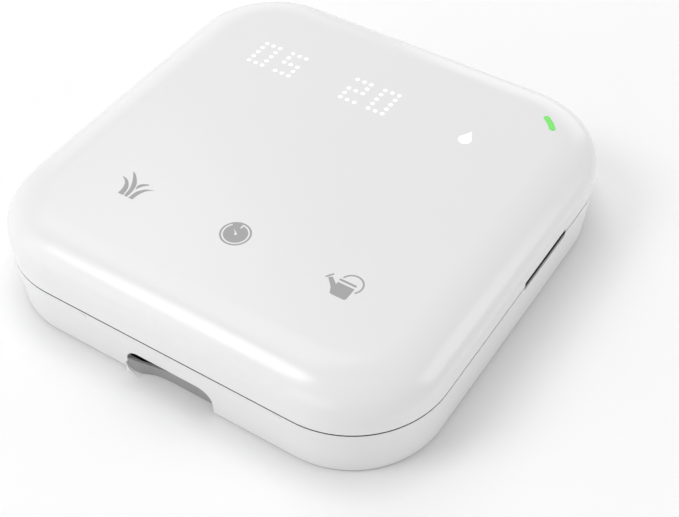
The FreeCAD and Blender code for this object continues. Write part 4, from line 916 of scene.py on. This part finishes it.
# Light spot: an outline filled towards its middle, whose light fades over its outermost ring
def light_spots(name, outlines, rim):
    build = bmesh.new()
    light = build.verts.layers.float.new("light")
    for outline in outlines:
        middle = sum((Vector(point) for point in outline), Vector((0, 0))) / len(outline)
        loops = []
        for reach, share in ((1, 0), (1 - rim, 0.85), (1 - 2 * rim, 1)):
            loop = []
            for point in outline:
                spot = middle + (Vector(point) - middle) * reach
                vertex = build.verts.new((spot.x * mm, spot.y * mm, face_level + 0.02 * mm))
                vertex[light] = share
                loop.append(vertex)
            loops.append(loop)
        count = len(outline)
        for outer, inner in zip(loops, loops[1:]):
            for index in range(count):
                after = (index + 1) % count
                build.faces.new((outer[index], outer[after], inner[after], inner[index]))
        build.faces.new(loops[-1])
    mesh = bpy.data.meshes.new(name)
    build.to_mesh(mesh)
    build.free()
    piece = bpy.data.objects.new(name, mesh)
    bpy.context.collection.objects.link(piece)
    return piece


dot_glow = glow("dot_glow", (0.8, 0.8, 0.8), (1, 1, 1), 0.6)
digit_middle = 36.1
for group, text in enumerate(("05", "20")):
    for place, digit in enumerate(text):
        left = 36.25 * (group - 1) + dot_pitch * (place * 4 - 3)
        spots = []
        for index, lit in enumerate(digit_rows[digit]):
            if lit == "1":
                x = left + dot_pitch * (index % 3)
                y = digit_middle + dot_pitch * (2 - index // 3)
                spots.append(ring(x, y, dot_radius, 0, 337.5, 15))
        digit_spots = light_spots(f"lit_digit_{group * 2 + place + 1}", spots, 0.2)
        digit_spots.data.materials.append(dot_glow)
        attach(digit_spots, "cover")
drop_outline = (ring(36.25, 34.0, 2.15, 165, 375, 30)
                + eased([(38.33, 34.55), (37.5, 36.2), (36.4, 38.5)])[1:]
                + eased([(36.4, 38.5), (35.2, 36.3), (34.17, 34.56)])[1:-1])
lit_drop = light_spots("lit_drop", [drop_outline], 0.06)
lit_drop.data.materials.append(dot_glow)
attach(lit_drop, "cover")

# Status light: a curved bar of clear acrylic, lit green from below and flush with the face.
# Its light bleeds a little into the white plastic on each side, and fades at the two ends.
status_green = moulded("status_green", (0.06, 0.30, 0.04), 0.2, 0.3 * mm, 0.003 * mm)
feed(status_green, "Transmission Weight", 0.2)
feed(status_green, "Emission Color", (0.16, 0.66, 0.11, 1))
feed(status_green, "Emission Strength", 0.8)
dress(status_green, "status_light_pipe")
bleed = bmesh.new()
light = bleed.verts.layers.float.new("light")
rows = []
for index in range(25):
    turn = math.radians(45 + 13.5 * (index - 12) / 12)
    along_share = min(1, min(index, 24 - index) / 3)
    row = []
    for reach, share in ((-1.2, 0), (-0.8, 0.7), (-0.5, 1), (0.5, 1), (0.8, 0.7), (1.2, 0)):
        x = 44 + (16 + reach) * math.cos(turn)
        y = 44 + (16 + reach) * math.sin(turn)
        vertex = bleed.verts.new((x, y, face_level / mm + 0.02))
        vertex[light] = share * along_share
        row.append(vertex)
    rows.append(row)
for row, after in zip(rows, rows[1:]):
    for index in range(5):
        bleed.faces.new((row[index], row[index + 1], after[index + 1], after[index]))
piece_of("status_bleed", bleed, [glow("status_glow", (0.06, 0.30, 0.04), (0.16, 0.66, 0.11), 0.8)], "cover")

# Table: a wide pale sheet that the unit lies on, with a matt painted surface and painted shade that darkens it
# close to the unit.
# It goes on well past the picture, so that every side view has the same ground.
table_half = 3.0
build = bmesh.new()
corners = [build.verts.new((x * table_half, y * table_half, -0.1 * mm))
           for x, y in ((-1, -1), (1, -1), (1, 1), (-1, 1))]
build.faces.new(corners)
table_mesh = bpy.data.meshes.new("table")
build.to_mesh(table_mesh)
build.free()
table = bpy.data.objects.new("table", table_mesh)
bpy.context.collection.objects.link(table)
table_white = bpy.data.materials.new("table_white")
table_white.use_nodes = True
place = step(table_white, "TexCoord", {}, "Object")
cloud = step(table_white, "TexNoise", {"Vector": place, "Scale": 9, "Detail": 4})
paint = between(table_white, cloud, (0.89, 0.89, 0.89), (0.91, 0.91, 0.91))
# Painted shade: ambient occlusion darkens the table's colour near the unit's walls, deepening its contact
# shadow
painted_contact_shade = step(table_white, "AmbientOcclusion", {"Color": paint, "Distance": 0.012}, "Color", samples=8)
feed(table_white, "Base Color", step(table_white, "Mix", {0: 0.5, 6: paint, 7: painted_contact_shade}, 2, data_type="RGBA"))
feed(table_white, "Roughness", 0.75)
seen = step(table_white, "LightPath", {}, "Is Camera Ray")
mirrored = step(table_white, "LightPath", {}, "Is Glossy Ray")
through = step(table_white, "LightPath", {}, "Is Transmission Ray")
shown = reckon(table_white, "MAXIMUM", seen, reckon(table_white, "MAXIMUM", mirrored, through))
feed(table_white, "Emission Color", (1, 1, 1, 1))
feed(table_white, "Emission Strength", reckon(table_white, "MULTIPLY", shown, 0.075))
table_mesh.materials.append(table_white)

# Studio light: soft lamps high on the left, lower ones that fill the walls, and a white room
world = bpy.data.worlds.new("white_room")
bpy.context.scene.world = world
world.use_nodes = True
room = world.node_tree.nodes["Background"]
seen = step(world, "LightPath", {}, "Is Camera Ray")
mirrored = step(world, "LightPath", {}, "Is Glossy Ray")
through = step(world, "LightPath", {}, "Is Transmission Ray")
shown = reckon(world, "MAXIMUM", seen, reckon(world, "MAXIMUM", mirrored, through))
room.inputs["Color"].default_value = (1, 1, 1, 1)
world.node_tree.links.new(spread(world, shown, 0, 1, 0.54, 1.0), room.inputs["Strength"])


# Square lamp of a given width, seen from the unit at a bearing from its right and a height in degrees
def soft_lamp(name, bearing, height, width, power):
    lamp = bpy.data.lights.new(name, "AREA")
    lamp.size = width
    lamp.energy = power
    holder = bpy.data.objects.new(name, lamp)
    turn, lift = math.radians(bearing), math.radians(height)
    side = Vector((math.cos(turn) * math.cos(lift), math.sin(turn) * math.cos(lift), math.sin(lift)))
    holder.location = side * 1.4
    holder.rotation_euler = side.to_track_quat("Z", "Y").to_euler()
    bpy.context.collection.objects.link(holder)


soft_lamp("front_left_lamp", 232, 50, 0.5, 4.6)
soft_lamp("back_left_lamp", 155, 60, 0.85, 3.4)
soft_lamp("left_low_lamp", 225, 25, 0.85, 2.1)
soft_lamp("front_low_lamp", 270, 12, 0.85, 2.5)
soft_lamp("right_low_lamp", 25, 14, 0.85, 4.4)
soft_lamp("back_low_lamp", 135, 12, 0.85, 1.2)
soft_lamp("back_lamp", 95, 12, 0.85, 2.4)

# Camera: above the lower right corner of the unit, with a long lens
across, height, tilt, distance = 0.5760, 0.8089, -0.0068, 0.40901
forward = Vector((-math.sin(across) * math.cos(height), math.cos(across) * math.cos(height),
                  -math.sin(height)))
level = Vector((math.cos(across), math.sin(across), 0))
upright = level.cross(forward)
right = level * math.cos(tilt) + upright * math.sin(tilt)
top = upright * math.cos(tilt) - level * math.sin(tilt)
eye = Vector((0, 0, 0.018)) - forward * distance + right * 0.00963 - top * 0.01844
lens = bpy.data.cameras.new("camera")
lens.lens = 68.25
lens.sensor_width = 36
camera = bpy.data.objects.new("camera", lens)
camera.matrix_world = Matrix.Translation(eye) @ Matrix((right, top, -forward)).transposed().to_4x4()
bpy.context.collection.objects.link(camera)
bpy.context.scene.camera = camera
bpy.context.scene.view_settings.view_transform = "Standard"
